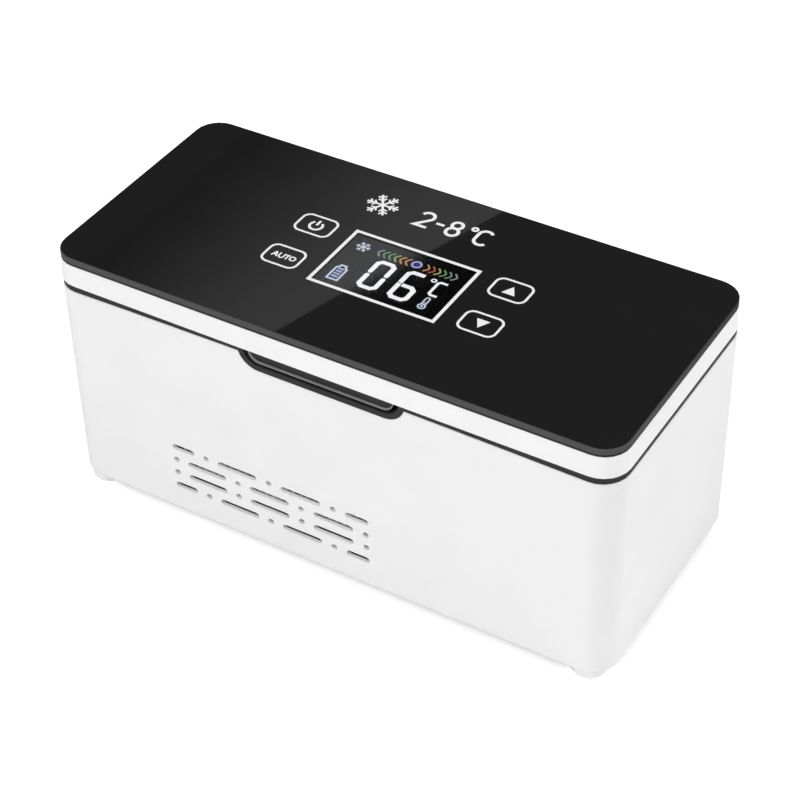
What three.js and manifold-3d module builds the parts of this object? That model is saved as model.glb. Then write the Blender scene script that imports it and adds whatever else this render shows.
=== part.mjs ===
// Cooling case for insulin: a white body with an insulated metal chamber, a thermoelectric cooler and a
// battery under it, and a hinged lid that carries a black panel with a display and four keys.
// Millimetres, +Z up, +X to the right, the front faces -Y. The origin lies under the middle of the case,
// on the surface that its feet stand on.
import * as THREE from 'three';
import { mergeVertices } from 'three/addons/utils/BufferGeometryUtils.js';
import Module from 'manifold-3d';

const wasm = await Module();
wasm.setup();

// Clearances
const SEAT = 0.1; // between faces that rest on each other
const FIT = 0.25; // between pieces that are pushed into each other
const RUN = 0.35; // between pieces that move past each other
const CUT = 5; // how far a cutting shape reaches past what it cuts

// Case outline
const CASE_LENGTH = 218.8; // along X, over the lid's lower edge
const CASE_WIDTH = 99.1; // along Y, over the lid's lower edge
const CASE_HEIGHT = 102.4; // from the table to the panel's top
const CORNER_RADIUS = 10; // of the upright corners
const CORNER_STEPS = 6; // facets in a quarter round
const EDGE_STEPS = 8; // facets along a crowned edge

// Feet and body
const FOOT_HEIGHT = 3.9;
const FOOT_RADIUS = 6.3;
const FOOT_INSET_X = 9.2; // from the case outline to a foot's centre
const FOOT_INSET_Y = 7.0;
const FOOT_CHAMFER = 0.8;
const BODY_INSET = 0.1; // from the case outline to the body's walls
const BODY_WALL = 1.5;
const BODY_FILLET = 0.8; // round of the lower edge
const EDGE_CROWN = 1.05; // rise of the front and rear edges at their middle
const POST_SIZE = 9; // screw posts in the body's corners

// Base plate and screws
const PLATE_THICKNESS = 2.4;
const PLATE_SLOTS = 6;
const PLATE_SLOT_LENGTH = 44;
const PLATE_SLOT_WIDTH = 3.2;
const PLATE_SLOT_PITCH = 7;
const SCREW_RADIUS = 1.3;
const SCREW_HEAD_RADIUS = 2.6;
const SCREW_HEAD_HEIGHT = 1.2;
const BASE_SCREW_LENGTH = 10;

// Air grille, on the front and on the rear wall
const GRILLE_X = -22.65;
const GRILLE_HEIGHT = 20.6; // of its middle, above the body's lower edge
const GRILLE_ROWS = 4;
const GRILLE_ROW_PITCH = 5.94;
const SLOT_PITCH = 26.4;
const SLOT_LENGTH = 16.4;
const SLOT_HEIGHT = 2.5;

// Rim frame between body and lid, with the finger scoop
const RIM_INSET = 0.35;
const RIM_LIP = 1.2; // its edge at the middle of the front
const RIM_DECK = 2.0;
const RIM_SKIRT_DEPTH = 3.5;
const RIM_SKIRT_WALL = 1.6;
const SCOOP_X = 1.1; // middle of the scoop and of the pull tab
const SCOOP_HALF_LENGTH = 32.3;
const SCOOP_DROP = 7.4; // from the lid's lower edge to the scoop's lower edge
const SCOOP_RADIUS = 8;
const SCOOP_BORDER = 2.15;
const SCOOP_WALL = 1.2;
const POCKET_DROP = 9.5; // from the lid's lower edge to the pocket's floor

// Chamber and its insulation
const FOAM_END = 16.5; // thickness at the short sides
const FOAM_SIDE = 12.5; // thickness at the long sides
const FOAM_SINK_GAP = 0.6; // above the heatsink
const TUB_WALL = 1.2;
const TUB_FLANGE = 3.5;
const TUB_RADIUS = 8;

// Cooler: fan, heatsink, thermoelectric module, cold block
const FAN_SIZE = 60;
const FAN_DEPTH = 10;
const FAN_AIR_GAP = 2;
const FAN_HOLE_SPACING = 50;
const FAN_BORE = 28;
const FAN_BLADES = 7;
const FAN_TIP_GAP = 0.8;
const FAN_HUB = 12;
const FAN_BACK = 1.6; // thickness of the motor plate and its arms
const FAN_ARM = 3;
const FAN_BLADE_THICKNESS = 1.2;
const FAN_BLADE_HEIGHT = 7.2;
const FAN_BLADE_ANGLE = 52; // from the fan's plane, in degrees
const SHAFT_RADIUS = 1.6;
const FAN_SCREW_RADIUS = 1.2;
const FAN_SCREW_DEPTH = 8; // into the heatsink
const FIN_COUNT = 28;
const FIN_PITCH = 2.9;
const FIN_THICKNESS = 0.9;
const FIN_HEIGHT = 14;
const SINK_GAP = 2.95; // to the front and the rear wall
const SINK_BASE = 4;
const PILLAR_RADIUS = 3.4;
const PELTIER_SIZE = 40;
const PELTIER_HEIGHT = 3.6;
const PELTIER_PLATE = 0.8;
const PELTIER_STEP = 1; // how far its core lies inside its plates
const COLD_LENGTH = 62;
const COLD_WIDTH = 40;
const COLD_HEIGHT = 6;
const SINK_SCREW_SPACING = 52;
const SINK_SCREW_DEPTH = 4.5; // into the cold block
const PROBE_RADIUS = 1.8;
const PROBE_LENGTH = 16;
const PROBE_DEPTH = 12; // into the cold block

// Power
const BATTERY_LENGTH = 68;
const BATTERY_CELL = 19.6; // diameter of a wrapped cell
const BATTERY_CELLS = 3;
const BATTERY_GAP = 3; // to the heatsink
const BOARD_LENGTH = 68;
const BOARD_WIDTH = 24;
const BOARD_THICKNESS = 1.6;
const BOARD_GAP = 3; // to the corner post and to the rear wall
const STANDOFF_HEIGHT = 4;
const STANDOFF_RADIUS = 2.4;
const INLET_WIDTH = 9;
const INLET_HEIGHT = 11;
const INLET_DEPTH = 11;
const INLET_NOSE = 4; // radius of the nose in the rear wall
const INLET_BORE = 2.8;
const INLET_BORE_DEPTH = 9;
const INLET_PIN = 0.9;

// Lid
const LID_GAP = 0.35; // above the rim frame
const LID_HEIGHT = 8.28;
const LID_DRAFT = 0.54; // how much it narrows towards the panel
const LID_WALL = 2.2;
const LID_DECK = 1.5;
const LID_DECK_DROP = 1.75; // from the lid's upper edge to the deck
const HINGE_INSET = 39.4; // from the case's ends to the middle of a hinge
const HINGE_SETBACK = 2.9; // from the lid's rear face to the axis
const HINGE_RISE = 3.2; // from the rim frame to the axis
const HINGE_LUG_WIDTH = 12;
const HINGE_LUG_RADIUS = 2.4;
const HINGE_WEB = 1.8; // half the thickness of a lug's foot
const HINGE_EAR_WIDTH = 7;
const HINGE_PIN_RADIUS = 1.0;
const HINGE_BORE_RADIUS = 1.2;
const HINGE_PIN_REACH = 6; // into each ear
const LINER_WALL = 1.2;
const PLUG_GAP = 1.5; // all round, inside the chamber's mouth
const PLUG_DROP = 2.3; // below the rim frame
const GASKET_HEIGHT = 1.6;
const GASKET_WIDTH = 3.5;
const GASKET_MARGIN = 1; // from the chamber's mouth
const LINER_SCREW_INSET = 12; // from the case outline, both ways
const LINER_SCREW_LENGTH = 4;
const BOSS_RADIUS = 3.2;
const MAGNET_RADIUS = 3;
const MAGNET_HEIGHT = 1.4;
const MAGNET_INSET_X = 49.4; // from the case's ends
const MAGNET_INSET_Y = 10; // from the case's front
const TAB_HALF_LENGTH = 28.2;
const TAB_DROP = 4.1; // below the lid
const TAB_LIP = 0.4; // thickness of the lip round its face
const TAB_FACE_INSET = 1.1; // from the case outline to the tab's face
const TAB_LIP_INSET = 0.2; // from the case outline to the lip
const TAB_DEPTH = 4; // behind its face
const TAB_RADIUS = 4.3;

// Panel, display and keys
const CONTROL_X = 1.9; // middle of the display and of the keys
const PANEL_HEIGHT = 3.02;
const PANEL_PLATE = 1.5;
const PANEL_EDGE = 0.3; // chamfer of the top edge
const WINDOW_LENGTH = 49.8;
const WINDOW_WIDTH = 33.0;
const WINDOW_RADIUS = 1.4;
const WINDOW_THICKNESS = 0.9;
const WINDOW_LEDGE = 1.2;
const WINDOW_Y = -2.54;
const SMALL_STEPS = 3; // facets in a small quarter round
const KEY_LENGTH = 14.65;
const KEY_WIDTH = 11.2;
const KEY_RADIUS = 3.2;
const KEY_GAP = 0.2;
const KEY_FLANGE = 0.8; // rim and thickness of the collar under the panel
const KEY_SPACING_X = 77.0;
const KEY_SPACING_Y = 20.8;
const KEY_Y = -1.32; // middle of the four keys
const KEY_TRAVEL = 0.45;
const SWITCH_SIZE = 6;
const DISPLAY_BORDER = 3; // of the display's housing round its glass
const DISPLAY_HOUSING = 2.0;
const CIRCUIT_THICKNESS = 1.0;
const CIRCUIT_MARGIN = 4; // round the keys and the display

// Levels, from the panel down to the body's walls
const halfLength = CASE_LENGTH / 2;
const halfWidth = CASE_WIDTH / 2;
const panelTop = CASE_HEIGHT;
const panelCeiling = panelTop - PANEL_PLATE;
const panelBottom = panelTop - PANEL_HEIGHT;
const lidTop = panelBottom - SEAT;
const lidDeckTop = lidTop - LID_DECK_DROP;
const lidDeckBottom = lidDeckTop - LID_DECK;
const lidBottom = lidTop - LID_HEIGHT;
const rimTop = lidBottom - LID_GAP;
const deckBottom = rimTop - RIM_DECK;
const bodyTop = rimTop - RIM_LIP - SEAT - EDGE_CROWN; // at the corners

// Levels, from the table up to the chamber, and those that hang on both
const bodyBottom = FOOT_HEIGHT;
const plateTop = bodyBottom + PLATE_THICKNESS;
const fanBottom = plateTop + FAN_AIR_GAP;
const fanTop = fanBottom + FAN_DEPTH;
const finBottom = fanTop + SEAT;
const finTop = finBottom + FIN_HEIGHT;
const sinkTop = finTop + SINK_BASE;
const peltierBottom = sinkTop + SEAT;
const peltierTop = peltierBottom + PELTIER_HEIGHT;
const coldBottom = peltierTop + SEAT;
const coldTop = coldBottom + COLD_HEIGHT;
const tubBottom = coldTop + SEAT;
const tubTop = deckBottom - SEAT;
const tubFloor = tubBottom + TUB_WALL;
const foamBottom = sinkTop + FOAM_SINK_GAP;
const foamTop = tubTop - TUB_WALL - SEAT;
const gasketBottom = rimTop + SEAT;
const linerBottom = gasketBottom + GASKET_HEIGHT + SEAT;
const linerTop = linerBottom + LINER_WALL;
const plugBottom = rimTop - PLUG_DROP;
const circuitBottom = lidDeckTop + SEAT;
const circuitTop = circuitBottom + CIRCUIT_THICKNESS;

// Insets from the case outline, and half sizes of the chamber
const wallInside = BODY_INSET + BODY_WALL;
const skirtInset = wallInside + FIT;
const foamInset = wallInside + FIT;
const foamNeckInset = skirtInset + RIM_SKIRT_WALL + FIT;
const tubHalfX = halfLength - foamInset - FOAM_END - TUB_WALL - FIT;
const tubHalfY = halfWidth - foamInset - FOAM_SIDE - TUB_WALL - FIT;
const flangeHalfY = tubHalfY + TUB_WALL + TUB_FLANGE;
const pocketBack = flangeHalfY + FIT + SCOOP_WALL; // half width of the case at the pocket's rear wall
const hingeX = halfLength - HINGE_INSET;
const hingeY = halfWidth - HINGE_SETBACK;
const hingeZ = rimTop + HINGE_RISE;
const magnetX = halfLength - MAGNET_INSET_X;
const magnetY = -(halfWidth - MAGNET_INSET_Y);
const plugHalfX = tubHalfX - PLUG_GAP;
const plugHalfY = tubHalfY - PLUG_GAP;
const sinkLength = (FIN_COUNT - 1) * FIN_PITCH + FIN_THICKNESS;

// A rounded rectangle as a ring of points, counter-clockwise from the front right corner. A crown lifts
// the points of the straight edges towards the middle of the case.
function ring(halfX, halfY, radius, z, { corner = CORNER_STEPS, edge = 1, crown = 0 } = {}) {
  const centreX = halfX - radius;
  const centreY = halfY - radius;
  const quarters = [
    [1, -1, -0.5],
    [1, 1, 0],
    [-1, 1, 0.5],
    [-1, -1, 1],
  ];
  const points = [];
  const straight = halfLength - CORNER_RADIUS;
  const place = (x, y) => points.push([x, y, z + crown * Math.max(0, 1 - (x / straight) ** 2)]);
  for (const [signX, signY, start] of quarters) {
    for (let step = 0; step <= corner; step += 1) {
      const angle = Math.PI * (start + step / corner / 2);
      place(signX * centreX + radius * Math.cos(angle), signY * centreY + radius * Math.sin(angle));
    }
    const steps = signX * signY > 0 ? edge : 1;
    for (let step = 1; step < steps; step += 1) {
      place(signX * centreX * (1 - (2 * step) / steps), signY * halfY);
    }
  }
  return points;
}

// The case outline, moved inwards
function caseRing(inset, z, crown = 0) {
  const options = { edge: EDGE_STEPS, crown };
  return ring(halfLength - inset, halfWidth - inset, CORNER_RADIUS - inset, z, options);
}

// The chamber's outline, moved outwards
function tubRing(offset, z) {
  return ring(tubHalfX + offset, tubHalfY + offset, TUB_RADIUS + offset, z);
}

function smallRing(length, width, radius, z) {
  return ring(length / 2, width / 2, radius, z, { corner: SMALL_STEPS });
}

// A closed surface through rings. It ends in two flat caps, or joins its last ring to its first.
function skin(rings, looped = false) {
  const count = rings[0].length;
  const position = rings.flat(2);
  const index = [];
  const strips = looped ? rings.length : rings.length - 1;
  for (let strip = 0; strip < strips; strip += 1) {
    const near = strip * count;
    const far = ((strip + 1) % rings.length) * count;
    for (let i = 0; i < count; i += 1) {
      const j = (i + 1) % count;
      index.push(near + i, near + j, far + j, near + i, far + j, far + i);
    }
  }
  if (!looped) {
    const last = (rings.length - 1) * count;
    const centre = rings.length * count;
    position.push(0, 0, rings[0][0][2], 0, 0, rings.at(-1)[0][2]);
    for (let i = 0; i < count; i += 1) {
      const j = (i + 1) % count;
      index.push(centre, j, i, centre + 1, last + i, last + j);
    }
  }
  const geometry = new THREE.BufferGeometry();
  geometry.setAttribute('position', new THREE.Float32BufferAttribute(position, 3));
  geometry.setIndex(index);
  return geometry;
}

// Solids for joining and cutting
function solid(geometry) {
  const bare = geometry.clone();
  bare.deleteAttribute('normal');
  bare.deleteAttribute('uv');
  const merged = mergeVertices(bare);
  const vertProperties = new Float32Array(merged.attributes.position.array);
  const triVerts = new Uint32Array(merged.index.array);
  return new wasm.Manifold(new wasm.Mesh({ numProp: 3, vertProperties, triVerts }));
}

function joined(first, ...others) {
  return others.reduce((sum, geometry) => sum.add(solid(geometry)), solid(first));
}

function cut(body, ...tools) {
  return tools.reduce((rest, geometry) => rest.subtract(solid(geometry)), body);
}

function surface(body) {
  const mesh = body.getMesh();
  const geometry = new THREE.BufferGeometry();
  geometry.setAttribute('position', new THREE.BufferAttribute(mesh.vertProperties, 3));
  geometry.setIndex(new THREE.BufferAttribute(mesh.triVerts, 1));
  return geometry;
}

// Simple shapes, given by their limits
function block(x0, x1, y0, y1, z0, z1) {
  const geometry = new THREE.BoxGeometry(x1 - x0, y1 - y0, z1 - z0);
  return geometry.translate((x0 + x1) / 2, (y0 + y1) / 2, (z0 + z1) / 2);
}

function upright(radius, z0, z1, x = 0, y = 0, sides = 12) {
  const geometry = new THREE.CylinderGeometry(radius, radius, z1 - z0, sides);
  return geometry.rotateX(Math.PI / 2).translate(x, y, (z0 + z1) / 2);
}

function alongX(shape, x0, x1) {
  const options = { depth: x1 - x0, bevelEnabled: false, curveSegments: 8 };
  const geometry = new THREE.ExtrudeGeometry(shape, options);
  const turn = new THREE.Matrix4().makeBasis(
    new THREE.Vector3(0, 1, 0),
    new THREE.Vector3(0, 0, 1),
    new THREE.Vector3(1, 0, 0),
  );
  return geometry.applyMatrix4(turn).translate(x0, 0, 0);
}

function alongY(shape, y0, y1, curveSegments = 4) {
  const geometry = new THREE.ExtrudeGeometry(shape, { depth: y1 - y0, bevelEnabled: false, curveSegments });
  return geometry.rotateX(Math.PI / 2).translate(0, y1, 0);
}

function polygon(points) {
  return new THREE.Shape(points.map(([x, y]) => new THREE.Vector2(x, y)));
}

function circle(x, y, radius) {
  return new THREE.Shape().absarc(x, y, radius, 0, 2 * Math.PI);
}

function roundSlot(x, y, length, height) {
  const reach = (length - height) / 2;
  const shape = new THREE.Shape();
  shape.absarc(x + reach, y, height / 2, -Math.PI / 2, Math.PI / 2);
  shape.absarc(x - reach, y, height / 2, Math.PI / 2, (3 * Math.PI) / 2);
  shape.closePath();
  return shape;
}

// A rectangle with round lower corners over the middle of the scoop, seen from the front. Where it is
// lower than its corner rounds, these end at its top.
function bucket(halfSize, bottom, top, radius) {
  const shape = new THREE.Shape();
  const left = SCOOP_X - halfSize;
  const right = SCOOP_X + halfSize;
  const turn = Math.asin(Math.max(0, 1 - (top - bottom) / radius));
  shape.absarc(left + radius, bottom + radius, radius, Math.PI + turn, (3 * Math.PI) / 2);
  shape.absarc(right - radius, bottom + radius, radius, (3 * Math.PI) / 2, 2 * Math.PI - turn);
  if (turn === 0) {
    shape.lineTo(right, top);
    shape.lineTo(left, top);
  }
  shape.closePath();
  return shape;
}

function lathe(profile, sides = 20) {
  const points = profile.map(([radius, z]) => new THREE.Vector2(radius, z));
  return new THREE.LatheGeometry(points, sides).rotateX(Math.PI / 2);
}

function screw(headRadius, shankRadius, length) {
  const profile = [
    [0, -SCREW_HEAD_HEIGHT],
    [headRadius, -SCREW_HEAD_HEIGHT],
    [headRadius, 0],
    [shankRadius, 0],
    [shankRadius, length],
    [0, length],
  ];
  return lathe(profile, 8);
}

// Finishes
const WHITE = { color: 0xf1f1f1, roughness: 0.38 };
const BLACK_GLOSS = { color: 0x1c1c1d, roughness: 0.08 };
const BLACK_SATIN = { color: 0x2a2a2c, roughness: 0.5 };
const STEEL = { color: 0xb9bcc0, roughness: 0.3, metalness: 1 };
const ALUMINIUM = { color: 0xd3d5d8, roughness: 0.35, metalness: 1 };
const BOARD_GREEN = { color: 0x1d5a34, roughness: 0.5 };

function piece(parent, name, shape, finish, position = [0, 0, 0]) {
  const geometry = shape.isBufferGeometry ? shape : surface(shape);
  const mesh = new THREE.Mesh(geometry, new THREE.MeshStandardMaterial(finish));
  mesh.name = name;
  mesh.position.set(...position);
  parent.add(mesh);
  return mesh;
}

const model = new THREE.Group();
const base = new THREE.Group();
const lid = new THREE.Group();
model.add(base, lid);

const sides = [
  ['left', -1],
  ['right', 1],
];
const corners = [
  ['front_left', -1, -1],
  ['front_right', 1, -1],
  ['rear_left', -1, 1],
  ['rear_right', 1, 1],
];
const footX = halfLength - FOOT_INSET_X;
const footY = halfWidth - FOOT_INSET_Y;

// Body shell: four walls with corner posts, a grille front and rear, and a notch for the scoop
function grille(y0, y1) {
  const cuts = [];
  const middle = bodyBottom + GRILLE_HEIGHT;
  const rowEnd = 1.5 * SLOT_PITCH + SLOT_HEIGHT / 2;
  const halfSlotStart = 1.5 * SLOT_PITCH - SLOT_LENGTH / 2;
  for (let row = 0; row < GRILLE_ROWS; row += 1) {
    const z = middle + (row - (GRILLE_ROWS - 1) / 2) * GRILLE_ROW_PITCH;
    const outerRow = row === 0 || row === GRILLE_ROWS - 1;
    const slots = outerRow ? [-0.5, 0.5] : [-1, 0, 1];
    const dots = outerRow ? [-1, 0, 1] : [-1.5, -0.5, 0.5, 1.5];
    const addSlot = (x, length) => {
      cuts.push(alongY(roundSlot(x, z, length, SLOT_HEIGHT), y0, y1, 2));
    };
    const addDot = (x) => {
      cuts.push(alongY(circle(x, z, SLOT_HEIGHT / 2), y0, y1));
    };
    slots.forEach((place) => addSlot(GRILLE_X + place * SLOT_PITCH, SLOT_LENGTH));
    dots.forEach((place) => addDot(GRILLE_X + place * SLOT_PITCH));
    if (outerRow) {
      const length = rowEnd - halfSlotStart;
      const offset = (rowEnd + halfSlotStart) / 2;
      addSlot(GRILLE_X - offset, length);
      addSlot(GRILLE_X + offset, length);
    }
  }
  return cuts;
}

const boardX = -(footX - POST_SIZE / 2 - BOARD_GAP - BOARD_WIDTH / 2);
const boardBottom = plateTop + STANDOFF_HEIGHT + SEAT;
const boardTop = boardBottom + BOARD_THICKNESS;
const inletZ = boardTop + SEAT + INLET_HEIGHT / 2;
const wallY = halfWidth - wallInside;

function bodyShell() {
  const fillet = [1, 0.5, 0].map((turn) => {
    const angle = (turn * Math.PI) / 2;
    const inset = BODY_INSET + BODY_FILLET * (1 - Math.cos(angle));
    return caseRing(inset, bodyBottom + BODY_FILLET * (1 - Math.sin(angle)));
  });
  const walls = skin(
    [
      ...fillet,
      caseRing(BODY_INSET, bodyTop, EDGE_CROWN),
      caseRing(wallInside, bodyTop, EDGE_CROWN),
      caseRing(wallInside, bodyBottom),
    ],
    true,
  );
  const postInset = BODY_INSET + BODY_WALL / 2;
  const postTop = foamBottom - SEAT;
  const room = solid(skin([caseRing(postInset, plateTop + SEAT), caseRing(postInset, postTop)]));
  const span = (sign, inner, outer) => (sign > 0 ? [inner, outer] : [-outer, -inner]);
  const posts = corners.map(([, sx, sy]) => {
    const [x0, x1] = span(sx, footX - POST_SIZE / 2, halfLength);
    const [y0, y1] = span(sy, footY - POST_SIZE / 2, halfWidth);
    return block(x0, x1, y0, y1, bodyBottom, postTop);
  });
  const pilots = corners.map(([, sx, sy]) =>
    upright(SCREW_RADIUS + FIT, 0, plateTop + BASE_SCREW_LENGTH, sx * footX, sy * footY),
  );
  const notchBottom = lidBottom - SCOOP_DROP - SEAT;
  const notch = bucket(SCOOP_HALF_LENGTH + SEAT, notchBottom, lidBottom, SCOOP_RADIUS + SEAT);
  const inletHole = circle(boardX, inletZ, INLET_NOSE + FIT);
  return cut(
    solid(walls).add(room.intersect(joined(...posts))),
    ...pilots,
    ...grille(-halfWidth, -wallY + SEAT),
    ...grille(wallY - SEAT, halfWidth),
    alongY(notch, -halfWidth, -wallY + SEAT, 8),
    alongY(inletHole, wallY - SEAT, halfWidth, 8),
  );
}
piece(base, 'body_shell', bodyShell(), WHITE);

// Base plate with air slots under the fan and standoffs for the circuit board
const boardBack = wallY - BOARD_GAP;
const boardMiddle = boardBack - BOARD_LENGTH / 2;
const standoffs = corners.map(([, sx, sy]) => [
  boardX + sx * (BOARD_WIDTH / 2 - STANDOFF_RADIUS),
  boardMiddle + sy * (BOARD_LENGTH / 2 - STANDOFF_RADIUS),
]);

function basePlate() {
  const inset = wallInside + FIT;
  const plate = skin([caseRing(inset, bodyBottom), caseRing(inset, plateTop)]);
  const stands = standoffs.map(([x, y]) =>
    upright(STANDOFF_RADIUS, plateTop - SEAT, plateTop + STANDOFF_HEIGHT, x, y, 12),
  );
  const slots = [];
  for (let slot = 0; slot < PLATE_SLOTS; slot += 1) {
    const y = (slot - (PLATE_SLOTS - 1) / 2) * PLATE_SLOT_PITCH;
    const shape = roundSlot(GRILLE_X, y, PLATE_SLOT_LENGTH, PLATE_SLOT_WIDTH);
    const options = { depth: PLATE_THICKNESS + 2 * CUT, bevelEnabled: false, curveSegments: 2 };
    slots.push(new THREE.ExtrudeGeometry(shape, options).translate(0, 0, bodyBottom - CUT));
  }
  const holes = corners.flatMap(([, sx, sy]) => [
    upright(SCREW_RADIUS + FIT, 0, plateTop + CUT, sx * footX, sy * footY),
    upright(SCREW_HEAD_RADIUS + FIT, 0, bodyBottom + SCREW_HEAD_HEIGHT + SEAT, sx * footX, sy * footY),
  ]);
  return cut(joined(plate, ...stands), ...slots, ...holes);
}
piece(base, 'base_plate', basePlate(), BLACK_SATIN);

const footProfile = [
  [0, 0],
  [FOOT_RADIUS - FOOT_CHAMFER, 0],
  [FOOT_RADIUS, FOOT_CHAMFER],
  [FOOT_RADIUS, FOOT_HEIGHT - SEAT],
  [0, FOOT_HEIGHT - SEAT],
];
const footFinish = { color: 0xe6e8ea, roughness: 0.45 };
for (const [name, sx, sy] of corners) {
  const seat = bodyBottom + SCREW_HEAD_HEIGHT;
  piece(base, `foot_${name}`, lathe(footProfile), footFinish, [sx * footX, sy * footY, 0]);
  const baseScrew = screw(SCREW_HEAD_RADIUS, SCREW_RADIUS, BASE_SCREW_LENGTH);
  piece(base, `base_screw_${name}`, baseScrew, STEEL, [sx * footX, sy * footY, seat]);
}

// Rim frame: the dark line under the lid, with the finger scoop in front and two hinge lugs behind
function rimFrame() {
  const skirtBottom = bodyTop - RIM_SKIRT_DEPTH;
  const underLip = bodyTop + SEAT;
  const inner = (z) => ring(tubHalfX, tubHalfY, TUB_RADIUS, z, { edge: EDGE_STEPS });
  const frame = skin(
    [
      caseRing(RIM_INSET, underLip, EDGE_CROWN),
      caseRing(RIM_INSET, rimTop),
      inner(rimTop),
      inner(deckBottom),
      caseRing(skirtInset + RIM_SKIRT_WALL, deckBottom),
      caseRing(skirtInset + RIM_SKIRT_WALL, skirtBottom),
      caseRing(skirtInset, skirtBottom),
      caseRing(skirtInset, underLip, EDGE_CROWN),
    ],
    true,
  );
  const scoopBottom = lidBottom - SCOOP_DROP;
  const pocketFloor = lidBottom - POCKET_DROP;
  const behindWall = halfWidth - skirtInset;
  const face = bucket(SCOOP_HALF_LENGTH, scoopBottom, rimTop, SCOOP_RADIUS);
  const back = bucket(SCOOP_HALF_LENGTH, pocketFloor - SCOOP_WALL, rimTop, SCOOP_RADIUS);
  const hollowHalf = SCOOP_HALF_LENGTH - SCOOP_BORDER;
  const hollowRadius = SCOOP_RADIUS - SCOOP_BORDER;
  const mouth = bucket(hollowHalf, scoopBottom + SCOOP_BORDER, lidTop, hollowRadius);
  const pocket = bucket(hollowHalf, pocketFloor, lidTop, hollowRadius);
  const lug = circle(hingeY, hingeZ, HINGE_LUG_RADIUS);
  const foot = polygon([
    [hingeY - HINGE_WEB, rimTop - RIM_LIP],
    [hingeY + HINGE_WEB, rimTop - RIM_LIP],
    [hingeY + HINGE_WEB, hingeZ],
    [hingeY - HINGE_WEB, hingeZ],
  ]);
  const bore = circle(hingeY, hingeZ, HINGE_BORE_RADIUS);
  const reach = HINGE_LUG_WIDTH / 2;
  const lugs = sides.flatMap(([, side]) => {
    const x = side * hingeX;
    return [alongX(lug, x - reach, x + reach), alongX(foot, x - reach, x + reach)];
  });
  const bores = sides.map(([, side]) => {
    const x = side * hingeX;
    return alongX(bore, x - reach - CUT, x + reach + CUT);
  });
  const pocketTop = deckBottom + MAGNET_HEIGHT + 2 * SEAT;
  const magnetPockets = sides.map(([, side]) =>
    upright(MAGNET_RADIUS + FIT, deckBottom - SEAT, pocketTop, side * magnetX, magnetY),
  );
  return cut(
    joined(
      frame,
      alongY(face, -halfWidth + BODY_INSET, -behindWall + SCOOP_WALL, 8),
      alongY(back, -behindWall, -pocketBack + SCOOP_WALL, 8),
      ...lugs,
    ),
    alongY(mouth, -halfWidth - CUT, -pocketBack, 8),
    alongY(pocket, -behindWall + SCOOP_WALL, -pocketBack, 8),
    ...bores,
    ...magnetPockets,
  );
}
piece(base, 'rim_frame', rimFrame(), BLACK_SATIN);

const pinLength = HINGE_LUG_WIDTH + 2 * RUN + 2 * HINGE_PIN_REACH;
for (const [name, side] of sides) {
  const pin = alongX(circle(0, 0, HINGE_PIN_RADIUS), -pinLength / 2, pinLength / 2);
  piece(base, `hinge_pin_${name}`, pin, STEEL, [side * hingeX, hingeY, hingeZ]);
  const magnet = upright(MAGNET_RADIUS, 0, MAGNET_HEIGHT);
  piece(base, `body_magnet_${name}`, magnet, STEEL, [side * magnetX, magnetY, deckBottom + SEAT]);
}

// Chamber: a pressed metal tub with a flange, in a foam jacket
const tub = skin([
  tubRing(TUB_WALL, tubBottom),
  tubRing(TUB_WALL, tubTop - TUB_WALL),
  tubRing(TUB_WALL + TUB_FLANGE, tubTop - TUB_WALL),
  tubRing(TUB_WALL + TUB_FLANGE, tubTop),
  tubRing(0, tubTop),
  tubRing(0, tubFloor),
]);
piece(base, 'chamber_tub', tub, ALUMINIUM);

function insulation() {
  const neck = bodyTop - RIM_SKIRT_DEPTH - FIT;
  const cavity = (z) => ring(
    tubHalfX + TUB_WALL + FIT,
    tubHalfY + TUB_WALL + FIT,
    TUB_RADIUS + TUB_WALL + FIT,
    z,
    { edge: EDGE_STEPS },
  );
  const jacket = skin([
    caseRing(foamInset, foamBottom),
    caseRing(foamInset, neck),
    caseRing(foamNeckInset, neck),
    caseRing(foamNeckInset, foamTop),
    cavity(foamTop),
    cavity(tubBottom - SEAT),
  ]);
  const coldX = COLD_LENGTH / 2 + FIT;
  const coldY = COLD_WIDTH / 2 + FIT;
  const probeEnd = GRILLE_X + COLD_LENGTH / 2 + PROBE_LENGTH - PROBE_DEPTH + FIT;
  const probeRoom = PROBE_RADIUS + FIT;
  const probeZ = coldBottom + COLD_HEIGHT / 2;
  const scoopBottom = lidBottom - POCKET_DROP - SCOOP_WALL - FIT;
  const scoopLeft = SCOOP_X - SCOOP_HALF_LENGTH - FIT;
  const scoopRight = SCOOP_X + SCOOP_HALF_LENGTH + FIT;
  return cut(
    solid(jacket),
    block(GRILLE_X - coldX, GRILLE_X + coldX, -coldY, coldY, foamBottom - CUT, tubBottom + CUT),
    block(GRILLE_X, probeEnd, -probeRoom, probeRoom, probeZ - probeRoom, tubBottom + CUT),
    block(scoopLeft, scoopRight, -halfWidth, -pocketBack + SCOOP_WALL + FIT, scoopBottom, lidTop),
  );
}
piece(base, 'insulation_foam', insulation(), { color: 0xe9e4d2, roughness: 0.95 });

// Cooler: cold block, thermoelectric module, heatsink and fan, from the chamber down
const sinkScrews = sides.map(([name, side]) => [name, GRILLE_X + (side * SINK_SCREW_SPACING) / 2]);
const probeZ = coldBottom + COLD_HEIGHT / 2;
const probeX = GRILLE_X + COLD_LENGTH / 2 - PROBE_DEPTH;

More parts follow.
